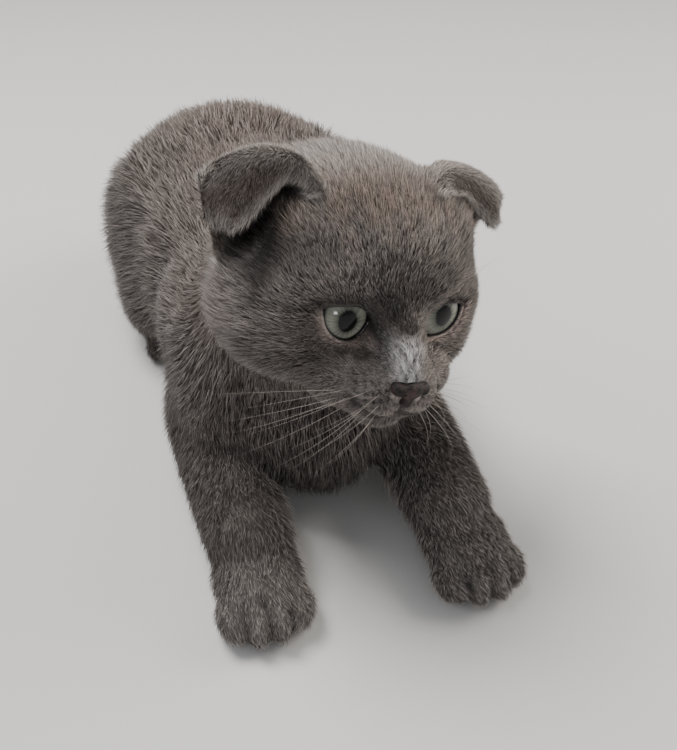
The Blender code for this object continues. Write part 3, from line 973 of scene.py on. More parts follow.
def paint_brow(c):
    """Warm and paler towards the crown, dark above and between the eyes, with streaks and marks, and painted
    shade under the chin.
    """
    x, y, z = c.x, c.y, c.z
    brow = bump(y, -16, 14) * ramp(z, 14, 22) * ramp(x, 24, 16)
    c.mix(c.brown * (0.66, 0.60, 0.56), c.head * brow)
    c.mix(c.dark * 0.8, c.face * bump(x, 0, 15) * bump(z, 11, 6) * 0.75)
    streaks = np.clip(np.sin(x * 1.3 + 0.8 * ripple(c.q, 9, 8)) * 1.3, 0, 1)
    c.mix(c.dark, c.face * bump(x, 0, 16) * ramp(z, 6, 12) * streaks * 0.40)
    crown = ramp(y, -6, 8) * ramp(z, 14, 22) * c.head
    c.frost += 0.30 * crown - 0.12 * c.head * brow - 0.12 * c.face * bump(z, 11, 6)
    c.mix(c.silver * 0.42, crown * 0.35)
    c.mix(c.brown * 0.85, c.head * ramp(y, 8, 20) * 0.6)
    # Painted shade under the chin
    c.mix(c.dark * 0.7, c.head * ramp(z, -21, -25) * (y > -34) * 0.8)
    c.mix(c.dark, c.head * ramp(x, 16, 22) * (y < 8) * 0.25)
    front = np.stack((x + 0.7 * ripple(c.q, 7, 31), z + 0.7 * ripple(c.q, 7, 32)), 1)
    tones = {"dark": c.dark * 0.75, "pale": c.silver * 0.42}
    for tone, strength, width, run in FACE_MARKS:
        c.mix(tones[tone], c.face * strength * bump(from_line(front, run), 0, width))


def paint_muzzle(c):
    """Silver with a painted highlight on the nose's bridge, paler pads with dark spots where the whiskers
    grow, and dark lips.
    """
    x, y, z = c.x, c.y, c.z
    # The bridge's silver, partly a real pale patch and partly painted highlight, lies a little to the right
    off = c.q[:, 0] + 1.0
    half_width = np.where(off > 0, 2.7, 3.3)
    bridge = np.exp(-((np.abs(off) / half_width) ** 3)) * ramp(z, 2.2, -1.3) * ramp(z, -8.2, -7) * (y < -26)
    c.mix(c.silver * (1.20, 1.29, 1.42), c.head * bridge * 0.9)
    c.dapple(0.60 * c.head * bridge * ripple(c.q * (1.6, 0.8, 0.8), 1.6, 33))
    c.frost += c.head * bridge * 0.5
    pad = np.exp(-(((x - 8) / 6.3) ** 4) - ((z + 11) / 4.6) ** 4) * (y < MUZZLE_BACK)
    c.mix(c.silver * (0.82, 0.78, 0.78), c.head * pad * 0.80)
    spots = np.min([np.hypot(x - a, (z - b) * 1.25) for a, b in whisker_spots()], 0)
    c.mix(c.dark * 0.2, c.head * pad * bump(spots, 0, 0.74))
    c.mix(c.silver * 0.36, c.head * bump(x, 0, 8) * bump(z, -20, 2.6) * (y < MUZZLE_BACK) * 0.3)
    lips = bump(mouth_distance(c.q), 0, 0.9)
    c.mix(c.dark * 0.4, c.head * lips * 0.9)
    c.frost *= 1 - 0.8 * lips


def paint_eye_rings(c, eyes):
    """A bare pale ring below and behind each eye, and a dark line above it."""
    for side, sign in SIDES.items():
        local, gap = lid_gap(c.points, side, eyes)
        local, gap = local / MM, gap / MM
        low = ramp(local[:, 2] - 0.25 * sign * local[:, 0], 1.6, -0.6)
        near = (local[:, 1] < 0) * (np.linalg.norm(local, axis=1) < 1.9 * EYE_RADIUS / MM)
        c.mix(c.silver * (0.80, 0.70, 0.67), near * low * bump(gap, 0.6, 0.75) * 0.9)
        c.mix(c.dark * 0.5, near * (1 - low) * bump(gap, 0.5, 1.0) * 0.85)


def paint_ears(c):
    """Brown ears, dark behind, with painted shade in the hollow and beside the left one's edge, a pale edge
    on the flap and silver along the fold.
    """
    c.mix(c.brown * 0.72, c.ear * 0.9)
    beside = c.head * (1 - c.ear)
    # Painted shade in the hollow beside each ear and on the ears' inward faces
    hollow = np.maximum(near_spot(c.q, EAR_HOLLOW) * beside, c.ear * np.clip(-c.outward * 2.5, 0, 1))
    c.mix(c.dark * 0.3, hollow * 0.92)
    c.frost *= 1 - 0.85 * hollow
    back = c.ear * np.clip(0.2 - c.turned * 2, 0, 1)
    c.mix(c.dark * 0.8, back * 0.65)
    c.frost *= 1 - 0.7 * back
    fold = c.ear * np.clip(c.turned * 3 + 1.2, 0, 1)
    border = np.maximum(c.ear, c.head * ramp(c.z, 11, 15)) * np.clip(c.turned * 3 + 0.7, 0, 1)
    for side in SIDES:
        # Painted shade on the inner side that shows beside the left ear's edge
        shade = near_ear_line(c.q, side, EAR_SHADE, 1.9) * border
        c.mix(c.dark * 0.35, shade * 0.85)
        c.frost *= 1 - 0.8 * shade
        edge = near_ear_line(c.q, side, EAR_EDGE, 1.35) * border
        crest = near_ear_line(c.q, side, EAR_CREST, 2.2) * fold
        c.mix(c.silver * 1.05, edge * 0.9)
        c.mix(c.silver * 0.6, crest * 0.6)
        c.frost += 0.7 * edge + 0.5 * crest
    tuft = c.ear * near_spot(c.q, EAR_TIP) * (1 - back)
    behind = near_spot(c.q, BEHIND_EAR) * beside
    c.mix(c.silver * 0.45, 0.6 * tuft + 0.6 * behind)
    c.frost += 0.4 * tuft + 0.5 * behind
    c.mix(c.brown * 1.2, 0.7 * near_spot(c.q, EAR_CORNER) * c.head)


def paint_paws(c):
    """Paler towards the toes, with painted shade in the grooves between them."""
    y = c.p[:, 1]
    toes = eased(ramp(y, -38, -62)) * np.maximum(c.paw, c.limb)
    c.frost += 0.25 * c.limb + 0.55 * toes
    c.mix(c.silver * 0.55, 0.40 * toes)
    c.dapple(-0.18 * c.limb)
    # Painted shade in the grooves between the toes
    grooves = toe_grooves(c.points)
    c.mix(c.dark * 0.4, grooves * 0.8)
    c.frost *= 1 - 0.8 * grooves


def markings_and_shade(mesh, coat, eyes):
    """The coat's colour at each vertex, with painted shade and a painted highlight, and how much of each
    hair's tip is silver.
    """
    c = Paint(mesh, coat)
    paint_body(c)
    paint_brow(c)
    paint_muzzle(c)
    paint_eye_rings(c, eyes)
    paint_ears(c)
    paint_paws(c)
    c.dapple(0.12 * ripple(c.p, 8, 21) + 0.10 * ripple(c.p, 3, 22))
    return np.clip(c.colour, 0.004, 1), np.clip(c.frost, 0, 1)


def skin_material():
    """Fine streaks that follow the coat's lie, in colour and in relief; they only darken the tint, as painted
    shade deep under the hairs.
    """
    look = Shader("skin")
    lie, place = look.attribute("lie", "Vector"), look.object_place()
    total = None
    for k in range(-3, 4):
        spot = look.vector("MULTIPLY_ADD", lie, (0.3 * MM * k,) * 3, place)
        grain = look.noise(spot, 3600, Detail=0)
        total = look.math("ADD", total, grain) if total else grain
    # The streaks darken the coat's tint to between 0.42 and 1 of it: hair grain and painted shade deep in the
    # coat
    shade = look.ranged(total, 3.1, 3.9, 0.42, 1.0)
    colour = look.mixed(1, look.attribute("tint", "Color"), shade, "MULTIPLY")
    return look.finished(Base_Color=colour, Roughness=0.8, Normal=look.relief(total, 0.5, 0.1 * MM))


def drawn_in(mesh, node, depth, ends):
    """Takes the skin in by the depth, and evens it where the coat is deep and round the ears' roots."""
    for _ in range(INSET_STEPS):
        set_points(mesh, points_of(mesh) - normals_of(mesh) * depth[:, None] / INSET_STEPS)
    points = points_of(mesh)
    share = ramp(depth / MM, 1.2, 3.2)[:, None]
    points = points * (1 - share) + relaxed(points, ends, 1) * share
    set_points(mesh, points)
    ear = relaxed(share_of(node, "ear_"), ends, 8)
    border = (4 * ear * (1 - ear))[:, None]
    points = points_of(mesh)
    return points * (1 - border) + relaxed(points, ends, 14) * border


class KITTEN_OT_skin(Operator):
    """Make one skin over all the flesh, inside it by the coat's depth, with lids and the line of the mouth"""

    bl_idname = "kitten.skin"
    bl_label = "Skin"

    def execute(self, context):
        coat, eyes = context.scene.kitten_coat, context.scene.kitten_eyes
        skin = skin_form()
        mesh = skin.data
        first = points_of(mesh)
        node, ends = node_of_each(first), neighbours(mesh)
        depth, length, head, ear = coat_fields(mesh, node)
        depth += MOUTH_DEPTH * bump(mouth_distance(in_head(first)), 0, 0.55)
        depth += TOE_GROOVE_DEPTH * toe_grooves(first)
        points = thin_lids(drawn_in(mesh, node, depth, ends), eyes)
        points[:, 2] = np.maximum(points[:, 2], SKIN_FLOOR)
        set_points(mesh, points)
        paw = share_of(node, "paw")
        limb = np.maximum(paw, share_of(node, "leg"))
        store(mesh, "hair_length", "FLOAT", length)
        store(mesh, "lie", "FLOAT_VECTOR", hair_lie(points, normals_of(mesh), node, ends))
        store(mesh, "on_head", "FLOAT", np.maximum(head, ear))
        store(mesh, "on_ear", "FLOAT", ear)
        store(mesh, "on_limb", "FLOAT", relaxed(limb, ends, 10))
        store(mesh, "on_paw", "FLOAT", relaxed(paw, ends, 6))
        skin.modifiers.new("thin", "DECIMATE").ratio = SKIN_KEPT
        applied(skin)
        finer_muzzle(skin)
        mesh = skin.data
        colour, frost = markings_and_shade(mesh, coat, eyes)
        store(mesh, "tint", "FLOAT_COLOR", np.concatenate((colour, np.ones((len(colour), 1))), 1))
        store(mesh, "frost", "FLOAT", frost)
        open_lids(skin, eyes)
        keep_largest(skin)
        smoothed(skin)
        unwrap(skin)
        mesh.materials.clear()
        mesh.materials.append(skin_material())
        skin.name = mesh.name = "skin"
        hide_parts(*FLESH)
        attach(skin, BODY)
        return {"FINISHED"}


def finer_muzzle(skin):
    """Splits the faces round the muzzle and the eyes, so that small marks show there."""
    shape = bmesh_of(skin.data)
    middle = Vector((0, -30, -4))
    near = set()
    for vertex in shape.verts:
        local = HEAD_TURN.transposed() @ (vertex.co - HEAD_AT) / MM
        if local.y < -14 and local.z < 9 and (local - middle).length < 22:
            near.add(vertex)
    edges = [e for e in shape.edges if e.verts[0] in near and e.verts[1] in near]
    bmesh.ops.subdivide_edges(shape, edges=edges, cuts=2, use_grid_fill=True)
    bmesh.ops.triangulate(shape, faces=shape.faces[:])
    shape.to_mesh(skin.data)
    shape.free()


def keep_largest(obj):
    """Drops all but the largest connected surface."""
    shape = bmesh_of(obj.data)
    left = set(shape.faces)
    islands = []
    while left:
        stack = [left.pop()]
        island = [stack[0]]
        while stack:
            for edge in stack.pop().edges:
                for face in edge.link_faces:
                    if face in left:
                        left.remove(face)
                        stack.append(face)
                        island.append(face)
        islands.append(island)
    islands.sort(key=len)
    for island in islands[:-1]:
        bmesh.ops.delete(shape, geom=island, context="FACES")
    loose = [v for v in shape.verts if not v.link_faces]
    bmesh.ops.delete(shape, geom=loose, context="VERTS")
    shape.to_mesh(obj.data)
    shape.free()


def unwrap(obj):
    """Unwraps the object's own shape into a map named OFBake."""
    while obj.data.uv_layers:
        obj.data.uv_layers.remove(obj.data.uv_layers[0])
    obj.data.uv_layers.new(name="OFBake")
    for other in bpy.context.selected_objects:
        other.select_set(False)
    bpy.context.view_layer.objects.active = obj
    obj.select_set(True)
    bpy.ops.object.mode_set(mode="EDIT")
    bpy.ops.mesh.select_all(action="SELECT")
    bpy.ops.uv.smart_project(angle_limit=math.radians(66), island_margin=0.002)
    bpy.ops.object.mode_set(mode="OBJECT")
    obj.select_set(False)


# Eyes


def eye_material(eyes):
    """A dark pupil and a fibrous iris, both taller than wide, under a clear wet coat."""
    look = Shader("eye")
    place = look.node("ShaderNodeUVMap", uv_map="gaze").outputs["UV"]
    centre = look.vector("SUBTRACT", place, (0.5, 0.5, 0))
    reach = look.vector("LENGTH", look.vector("MULTIPLY", centre, (1, 0.83, 1)), out="Value")
    rays = look.noise(look.vector("NORMALIZE", centre), 9, Detail=4, Roughness=0.65)
    # The rays push the rings out by this much at most, and by half of it on average
    wander = 0.06
    # The map holds the eye's radius as half its width, so a share of the radius is halved here
    pupil, iris = eyes.pupil / 2 + wander / 2, eyes.iris / 2 + wander / 2
    stops = (
        (pupil - 0.006, (0.004, 0.004, 0.005)),
        (pupil + 0.006, [c * 0.55 for c in eyes.iris_deep]),
        (pupil + 0.03, eyes.iris_deep),
        (pupil + (iris - pupil) * 0.55, eyes.iris_pale),
        (iris - 0.012, [c * 0.9 for c in eyes.iris_pale]),
        (iris + 0.016, (0.040, 0.036, 0.032)),
        (iris + 0.045, (0.008, 0.007, 0.007)),
    )
    rings = look.ringed(look.math("MULTIPLY_ADD", rays, wander, reach), stops)
    fibres = look.ranged(rays, 0.35, 0.65, 0.62, 1.12)
    return look.finished(
        Base_Color=look.mixed(1, rings, fibres, "MULTIPLY"),
        Roughness=0.6,
        Specular_IOR_Level=0.05,
        Coat_Weight=1.0,
        Coat_Roughness=0.02,
        Coat_IOR=1.27,
    )


def rim_material():
    """Bare dark skin, a little uneven."""
    look = Shader("lid_rim")
    grain = look.noise(look.object_place(), 2500)
    normal = look.relief(grain, 0.3, 0.2 * MM)
    return look.finished(Base_Color=(0.012, 0.010, 0.010, 1), Roughness=0.28, Normal=normal)


def gaze_turn(side):
    """The turn from where the opening faces to where the eye looks."""
    pitch, yaw, roll = (math.radians(angle) for angle in GAZE[side])
    return Matrix.Rotation(yaw, 4, "Z") @ Matrix.Rotation(-pitch, 4, "X") @ Matrix.Rotation(roll, 4, "Y")


def eyeball(side, eyes, mat):
    """The eye with its cornea, and a map of how far each point is from what it looks at."""
    shape = bmesh.new()
    bmesh.ops.create_uvsphere(shape, u_segments=64, v_segments=48, radius=EYE_RADIUS)
    bmesh.ops.rotate(shape, verts=shape.verts, matrix=Matrix.Rotation(math.pi / 2, 3, "X"))
    rim = eyes.iris * EYE_RADIUS
    rim_depth = math.sqrt(EYE_RADIUS**2 - rim**2)
    for vertex in shape.verts:
        out = math.hypot(vertex.co.x, vertex.co.z)
        if vertex.co.y < 0 and out < rim:
            vertex.co.y = -rim_depth - CORNEA_RISE * (1 - (out / rim) ** 2)
    layer = shape.loops.layers.uv.new("gaze")
    for face in shape.faces:
        for loop in face.loops:
            at = loop.vert.co / (2 * EYE_RADIUS)
            if at.y > 0:
                at = at / max(math.hypot(at.x, at.z), 1e-6) * 0.5
            loop[layer].uv = (0.5 + at.x, 0.5 + at.z)
    shape.transform(eye_frame(side) @ gaze_turn(side))
    bmesh.ops.recalc_face_normals(shape, faces=shape.faces[:])
    obj = smoothed(object_from(f"eyeball_{side}", shape))
    obj.data.materials.append(mat)
    return obj


def tubes(name, runs, closed, mat):
    """Tubes through rings of points, each closed end to end or capped."""
    shape = bmesh.new()
    for rings in runs:
        made = [[shape.verts.new(point) for point in ring] for ring in rings]
        count = len(made[0])
        spans = list(zip(made, made[1:])) + ([(made[-1], made[0])] if closed else [])
        for a, b in spans:
            for i in range(count):
                j = (i + 1) % count
                shape.faces.new((a[i], a[j], b[j], b[i]))
        if not closed:
            shape.faces.new(made[0][::-1])
            shape.faces.new(made[-1])
    bmesh.ops.recalc_face_normals(shape, faces=shape.faces[:])
    obj = smoothed(object_from(name, shape))
    obj.data.materials.append(mat)
    return obj


def lid_rim(side, eyes, mat):
    """The bare dark edge of the lids, thicker above and at the inner corner."""
    place = eye_frame(side)
    outline = lid_outline(eyes, side, 0.985, 72)
    rings = []
    for (x, z), (next_x, next_z) in zip(outline, outline[1:] + outline[:1]):
        at = on_ball(x, z, EYE_RADIUS + 0.35 * MM)
        out = at.normalized()
        ahead = Vector((next_x - x, 0, next_z - z)).normalized()
        across = out.cross(ahead).normalized()
        inner = ramp(-SIDES[side] * x / MM, 4.2, 6.6)
        thick = (0.32 + 0.03 * max(z / MM, 0) + 0.34 * inner) * MM
        turns = [2 * math.pi * k / 8 for k in range(8)]
        wide, high = across * thick, out * thick * 0.9
        rings.append([place @ (at + wide * math.cos(a) + high * math.sin(a)) for a in turns])
    return tubes(f"lid_rim_{side}", [rings], True, mat)


class KITTEN_OT_eyes(Operator):
    """Make both eyes with their irises, and the dark rims of the lids"""

    bl_idname = "kitten.eyes"
    bl_label = "Eyes"

    def execute(self, context):
        eyes = context.scene.kitten_eyes
        ball_finish, rim_finish = eye_material(eyes), rim_material()
        for side in SIDES:
            ball = eyeball(side, eyes, ball_finish)
            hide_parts(f"eye_{side}")
            rim = lid_rim(side, eyes, rim_finish)
            for piece, slot in ((ball, f"eye_{side}"), (rim, "nose")):
                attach(piece, BODY)
        return {"FINISHED"}


# Nose


def leather_material():
    """Pebbled dark leather, tinted by the piece's own tone, which holds painted shade in the nostrils and the
    groove.
    """
    look = Shader("nose_leather")
    place = look.object_place()
    cells = look.node("ShaderNodeTexVoronoi", {"Vector": place, "Scale": 2600}).outputs["Distance"]
    patches = look.noise(place, 420, Detail=3)
    colours = look.ringed(patches, ((0.38, (0.010, 0.007, 0.007)), (0.72, (0.045, 0.027, 0.025))))
    return look.finished(
        Base_Color=look.mixed(1, colours, look.attribute("tone", "Color"), "MULTIPLY"),
        Normal=look.relief(cells, 0.55, 0.25 * MM),
        Roughness=0.5,
        Specular_IOR_Level=0.25,
    )


def leather_tone_and_shade(mesh):
    """Painted shade in the nostrils and along the groove, and pinker in the middle."""
    q = in_head(points_of(mesh))
    flat = np.stack((np.abs(q[:, 0]), q[:, 2]), 1)
    # Painted shade in the nostrils and along the groove
    nostril = bump(from_line(flat, ((4.9, -6.6), (4.2, -7.6), (3.2, -8.3))), 0, 0.75)
    groove = bump(from_line(flat, ((0, -9.4), (0, -12.6))), 0, 0.4)
    pink = bump(q[:, 0], -1.1, 1.6) * bump(q[:, 2], -8.6, 1.5)
    tone = np.ones((len(q), 4))
    tone[:, :3] *= ((1 - 0.9 * nostril) * (1 - 0.7 * groove))[:, None]
    tone[:, :3] += pink[:, None] * (0.8, 0.6, 0.6)
    store(mesh, "tone", "FLOAT_COLOR", tone)


class KITTEN_OT_nose(Operator):
    """Make the nose's leather with its nostrils"""

    bl_idname = "kitten.nose"
    bl_label = "Nose"

    def execute(self, context):
        nose = smoothed(fused(welded("nose_leather", "nose"), 0.22 * MM, 4))
        leather_tone_and_shade(nose.data)
        nose.data.materials.clear()
        nose.data.materials.append(leather_material())
        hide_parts("nose")
        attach(nose, BODY)
        return {"FINISHED"}


# Coat


def bent_hair():
    """A spindle that is closed, with one bend: a root, three points round its widest part and a tip."""
    points = [(0, 0, 0), *[(math.cos(a), math.sin(a), BEND) for a in THIRDS], (0, 0, 1)]
    return hair_model("bent_hair", points, [(0, 2, 1), (0, 3, 2), (0, 1, 3), (1, 2, 4), (2, 3, 4), (3, 1, 4)])


def short_hair():
    """A closed spike on three points."""
    points = [*[(math.cos(a), math.sin(a), 0) for a in THIRDS], (0, 0, 1)]
    return hair_model("short_hair", points, [(0, 2, 1), (0, 1, 3), (1, 2, 3), (2, 0, 3)])


def hair_model(name, points, faces):
    """A hair of length 1 and half width 1, whose points keep how far along it they are and where round it."""
    mesh = bpy.data.meshes.new(name)
    mesh.from_pydata(points, [], faces)
    hair = smoothed(object_of(name, mesh))
    store(mesh, "along", "FLOAT", [z for _, _, z in points])
    store(mesh, "round", "FLOAT_VECTOR", [(x, y, 0) for x, y, _ in points])
    return hair


def coat_roots(t, seed):
    """Scatters the roots, each with its own chance values and the way to the middle of its lock."""
    density = t.math("MULTIPLY", t.input("Density", "NodeSocketFloat", 1.0), t.read("share"))
    scatter = t.node(
        "GeometryNodeDistributePointsOnFaces",
        {"Mesh": t.start.outputs["Geometry"], "Density": density, "Seed": seed},
        distribute_method="RANDOM",
    )
    place = t.node("GeometryNodeInputPosition").outputs["Position"]
    points = t.keep_vector(scatter.outputs["Points"], "root", place)
    points = t.keep_vector(points, "up", scatter.outputs["Normal"])
    points = t.keep_vector(points, "root_map", t.read("OFBake", "FLOAT_VECTOR"))
    points = t.keep(points, "shade", t.chance(0.0, 1.0, 3))
    points = t.keep(points, "grow", t.chance(0.72, 1.18, 4))
    points = t.keep(points, "spin", t.chance(0.0, 6.283, 5))
    points = t.keep_vector(points, "stray", t.chance((-1, -1, -1), (1, 1, 1), 6, "FLOAT_VECTOR"))
    per_metre = t.math("DIVIDE", 1.0, t.input("Lock size", "NodeSocketFloat", 0.006))
    inputs = {"Vector": place, "Scale": per_metre, "Randomness": 1.0}
    locks = t.node("ShaderNodeTexVoronoi", inputs, feature="F1")
    points = t.keep_vector(points, "lock", t.vector("SUBTRACT", locks.outputs["Position"], place))
    return t.drop(points, "OFBake")


def hair_places(t):
    """Where each point of a hair is: along its slope, over its bend, leaning to its lock."""
    along, length = t.read("along"), t.math("MULTIPLY", t.read("hair_length"), t.read("grow"))
    up = t.vector("NORMALIZE", t.read("up", "FLOAT_VECTOR"))
    stray = t.scaled(t.read("stray", "FLOAT_VECTOR"), STRAY)
    lie = t.vector("NORMALIZE", t.vector("ADD", t.read("lie", "FLOAT_VECTOR"), stray))

    def sloped(slope, part):
        way = t.vector("ADD", t.scaled(lie, t.math("COSINE", slope)), t.scaled(up, t.math("SINE", slope)))
        return t.scaled(way, t.math("MULTIPLY", part, length))

    uneven = t.math("ADD", 0.85, t.math("MULTIPLY", 0.3, t.read("shade")))
    slope = t.math("MULTIPLY", t.input("Rise", "NodeSocketFloat", 0.9), uneven)
    before = sloped(slope, t.math("MINIMUM", along, BEND))
    past = t.math("MAXIMUM", t.math("SUBTRACT", along, BEND), 0.0)
    run = t.vector("ADD", before, sloped(t.math("MULTIPLY", slope, SLOPE_PAST_BEND), past))
    gather = t.math("MULTIPLY", t.math("POWER", along, 1.5), t.input("Gather", "NodeSocketFloat", 0.35))
    lean = t.scaled(t.read("lock", "FLOAT_VECTOR"), gather)
    lean = t.vector("SUBTRACT", lean, t.scaled(up, t.vector("DOT_PRODUCT", lean, up, out="Value")))
    off = t.vector("ADD", run, t.vector("ADD", lean, round_hair(t, lie, up)))
    return t.vector("ADD", t.read("root", "FLOAT_VECTOR"), off)


def round_hair(t, lie, up):
    """How far each point is from its hair's middle line, with the hair spun by its own chance."""
    side = t.vector("NORMALIZE", t.vector("CROSS_PRODUCT", lie, up))
    spin = t.node(
        "ShaderNodeVectorRotate",
        {"Vector": t.read("round", "FLOAT_VECTOR"), "Angle": t.read("spin")},
        rotation_type="Z_AXIS",
    )
    parts = t.node("ShaderNodeSeparateXYZ", {"Vector": spin.outputs["Vector"]})
    width = t.input("Width", "NodeSocketFloat", 0.0004)
    half = t.math("MULTIPLY", t.math("MULTIPLY", width, 0.5), t.read("hair_width"))
    across = t.scaled(side, t.math("MULTIPLY", parts.outputs["X"], half))
    return t.vector("ADD", across, t.scaled(up, t.math("MULTIPLY", parts.outputs["Y"], half)))


def coat_tree(hair, mat):
    """Scatters hairs over a skin: each rises from its root, bends along the lie and leans to its lock."""
    t = Growth("coat")
    points = coat_roots(t, t.input("Seed", "NodeSocketInt", 1))
    model = t.geometry("GeometryNodeObjectInfo", {"Object": hair}, transform_space="ORIGINAL")
    hairs = t.geometry("GeometryNodeInstanceOnPoints", {"Points": points, "Instance": model}, "Instances")
    hairs = t.geometry("GeometryNodeRealizeInstances", {"Geometry": hairs})
    parts = t.node("ShaderNodeSeparateXYZ", {"Vector": hair_places(t)})
    above_floor = t.math("MAXIMUM", parts.outputs["Z"], HAIR_FLOOR)
    inputs = {"X": parts.outputs["X"], "Y": parts.outputs["Y"], "Z": above_floor}
    where = t.node("ShaderNodeCombineXYZ", inputs).outputs["Vector"]
    hairs = t.geometry("GeometryNodeSetPosition", {"Geometry": hairs, "Position": where})
    wide = t.scaled(t.read("round", "FLOAT_VECTOR"), PATCH)
    spot = t.vector("ADD", t.read("root_map", "FLOAT_VECTOR"), wide)
    high = t.node("ShaderNodeCombineXYZ", {"Y": t.math("MULTIPLY", t.read("along"), PATCH)}).outputs["Vector"]
    hairs = t.keep(hairs, "OFBake", t.vector("ADD", spot, high), "FLOAT2", "CORNER")
    for name in USED_UP:
        hairs = t.drop(hairs, name)
    hairs = t.geometry("GeometryNodeSetMaterial", {"Geometry": hairs, "Material": mat})
    t.links.new(hairs, t.end.inputs["Geometry"])
    return t


def coat_material(coat):
    """Each hair is dark at its root, its own grey along it and silver at its tip."""
    look = Shader("coat")
    along, shade, frost = (look.attribute(name, "Fac") for name in ("along", "shade", "frost"))
    tone = look.math("ADD", 0.58, look.math("MULTIPLY", shade, 0.72))
    tone = look.math("MULTIPLY", tone, look.math("ADD", 0.50, look.math("MULTIPLY", along, 0.72)))
    body = look.mixed(1, look.attribute("tint", "Color"), tone, "MULTIPLY")
    silvering = look.math("MULTIPLY", look.math("POWER", along, 1.25), frost)
    few = look.math("MULTIPLY", look.math("POWER", shade, 2.2), 2.3)
    silvering = look.math("MINIMUM", look.math("MULTIPLY", silvering, few), 1.0)
    colour = look.mixed(silvering, body, (*coat.silver, 1))
    return look.finished(Base_Color=colour, Roughness=0.62, Specular_IOR_Level=0.35)


def hair_piece(name, ground, tree, inputs):
    """One mesh of hairs over the ground, with nothing but the hairs in it."""
    piece = object_of(name, ground.data)
    grown = piece.modifiers.new("coat", "NODES")
    grown.node_group = tree.tree
    for key, value in inputs.items():
        grown[tree.names[key]] = value
    mesh = evaluated_mesh(piece)
    mesh.name = name
    piece.modifiers.clear()
    piece.data = mesh
    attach(piece, BODY)


def hair_share(mesh, eyes):
    """1 where hairs grow, less under the belly, and 0 in the sockets, on the lids' edge, nose and lips."""
    points = points_of(mesh)
    bare = mouth_distance(in_head(points)) < 0.5
    for side in SIDES:
        local = in_eye(points, side)
        outline = np.array(lid_outline(eyes, side, 1.0, 48))
        gap = np.linalg.norm(local[:, None, [0, 2]] - outline[None], axis=2).min(1)
        inside = np.hypot(local[:, 0] / 5, local[:, 2] / 3.5) < MM
        front = (local[:, 1] < 0) & (local[:, 1] > -2 * EYE_RADIUS)
        bare |= front & ((gap < 0.55 * MM) | inside)
        bare |= np.linalg.norm(local, axis=1) < EYE_RADIUS + 0.25 * MM
    nose = (points - np.array(middle_of("nose"))) @ np.array(HEAD_TURN) / MM
    bare |= np.linalg.norm(nose / (4.7, 3.2, 3.6), axis=1) < 1
    under = points[:, 2] < 0.6 * MM
    return ~bare * (1 - 0.9 * under)


class KITTEN_OT_coat(Operator):
    """Grow the coat over the skin, finest on the face and the feet"""

    bl_idname = "kitten.coat"
    bl_label = "Coat"

    def execute(self, context):
        coat = context.scene.kitten_coat
        ground = object_of("ground", bpy.data.objects["skin"].data.copy())
        mesh = ground.data
        keep = hair_share(mesh, context.scene.kitten_eyes)
        head, limb = values_of(mesh, "on_head"), values_of(mesh, "on_limb")
        length = values_of(mesh, "hair_length") / MM
        areas = vertex_areas(mesh)
        mat = coat_material(coat)
        short = short_hair()
        hairs = {"body": bent_hair(), "limb": short, "head": short}
        body = 1 - head
        places = {"body": body * (1 - limb), "limb": body * limb, "head": head}
        fewer, wider = ((1.0, 1.0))
        for name, layer in LAYERS.items():
            tree = coat_tree(hairs[name], mat)
            # Shorter hairs stand closer together and are finer
            near = np.clip(length / layer["typical"], 0.25, 2)
            share = np.clip(places[name], 0, 1) * keep * near**-0.8
            store(mesh, "share", "FLOAT", share)
            store(mesh, "hair_width", "FLOAT", np.clip(near**0.35, 0.55, 1.15))
            total = float((areas * share).sum())
            count = layer["pieces"]
            inputs = {
                "Density": getattr(coat, f"{name}_hairs") * fewer / count / total,
                "Width": getattr(coat, f"{name}_width") * wider,
                "Rise": layer["rise"],
                "Lock size": layer["lock"],
                "Gather": layer["gather"],
            }
            for k in range(count):
                hair_piece(f"coat_{name}_{k + 1}", ground, tree, {**inputs, "Seed": coat.seed + 10 * k})
        for helper in {ground, *hairs.values()}:
            bpy.data.objects.remove(helper)
        return {"FINISHED"}


# Whiskers


def whisker_material():
    """Pale horn, a little uneven."""
    look = Shader("whisker")
    tone = look.noise(look.object_place(), 60)
    colours = look.ringed(tone, ((0, (0.26, 0.22, 0.19)), (1, (0.55, 0.50, 0.45))))
    return look.finished(Base_Color=colours, Roughness=0.35)


def whisker_rings(start, way, droop, length, thick):
    """Rings of a tapered hair that leaves start along way and curves towards droop."""
    rings = []
    at = Vector(start)
    heading = Vector(way).normalized()
    for i in range(WHISKER_STEPS + 1):
        side = heading.cross(Vector((0.3, 0.2, 0.9))).normalized()
        other = heading.cross(side).normalized()
        radius = thick * (1 - 0.94 * i / WHISKER_STEPS) / 2
        rings.append([at + side * radius * math.cos(a) + other * radius * math.sin(a) for a in THIRDS])
        heading = (heading + Vector(droop) / WHISKER_STEPS).normalized()
        at = at + heading * length / WHISKER_STEPS
    return rings


def on_skin(surface, x, z):
    """The point of the skin that is seen straight from the front at x and z, in mm in the head's frame."""
    return surface.ray_cast(HEAD @ (Vector((x, -60, z)) * MM), HEAD_TURN @ Vector((0, 1, 0)))[0]


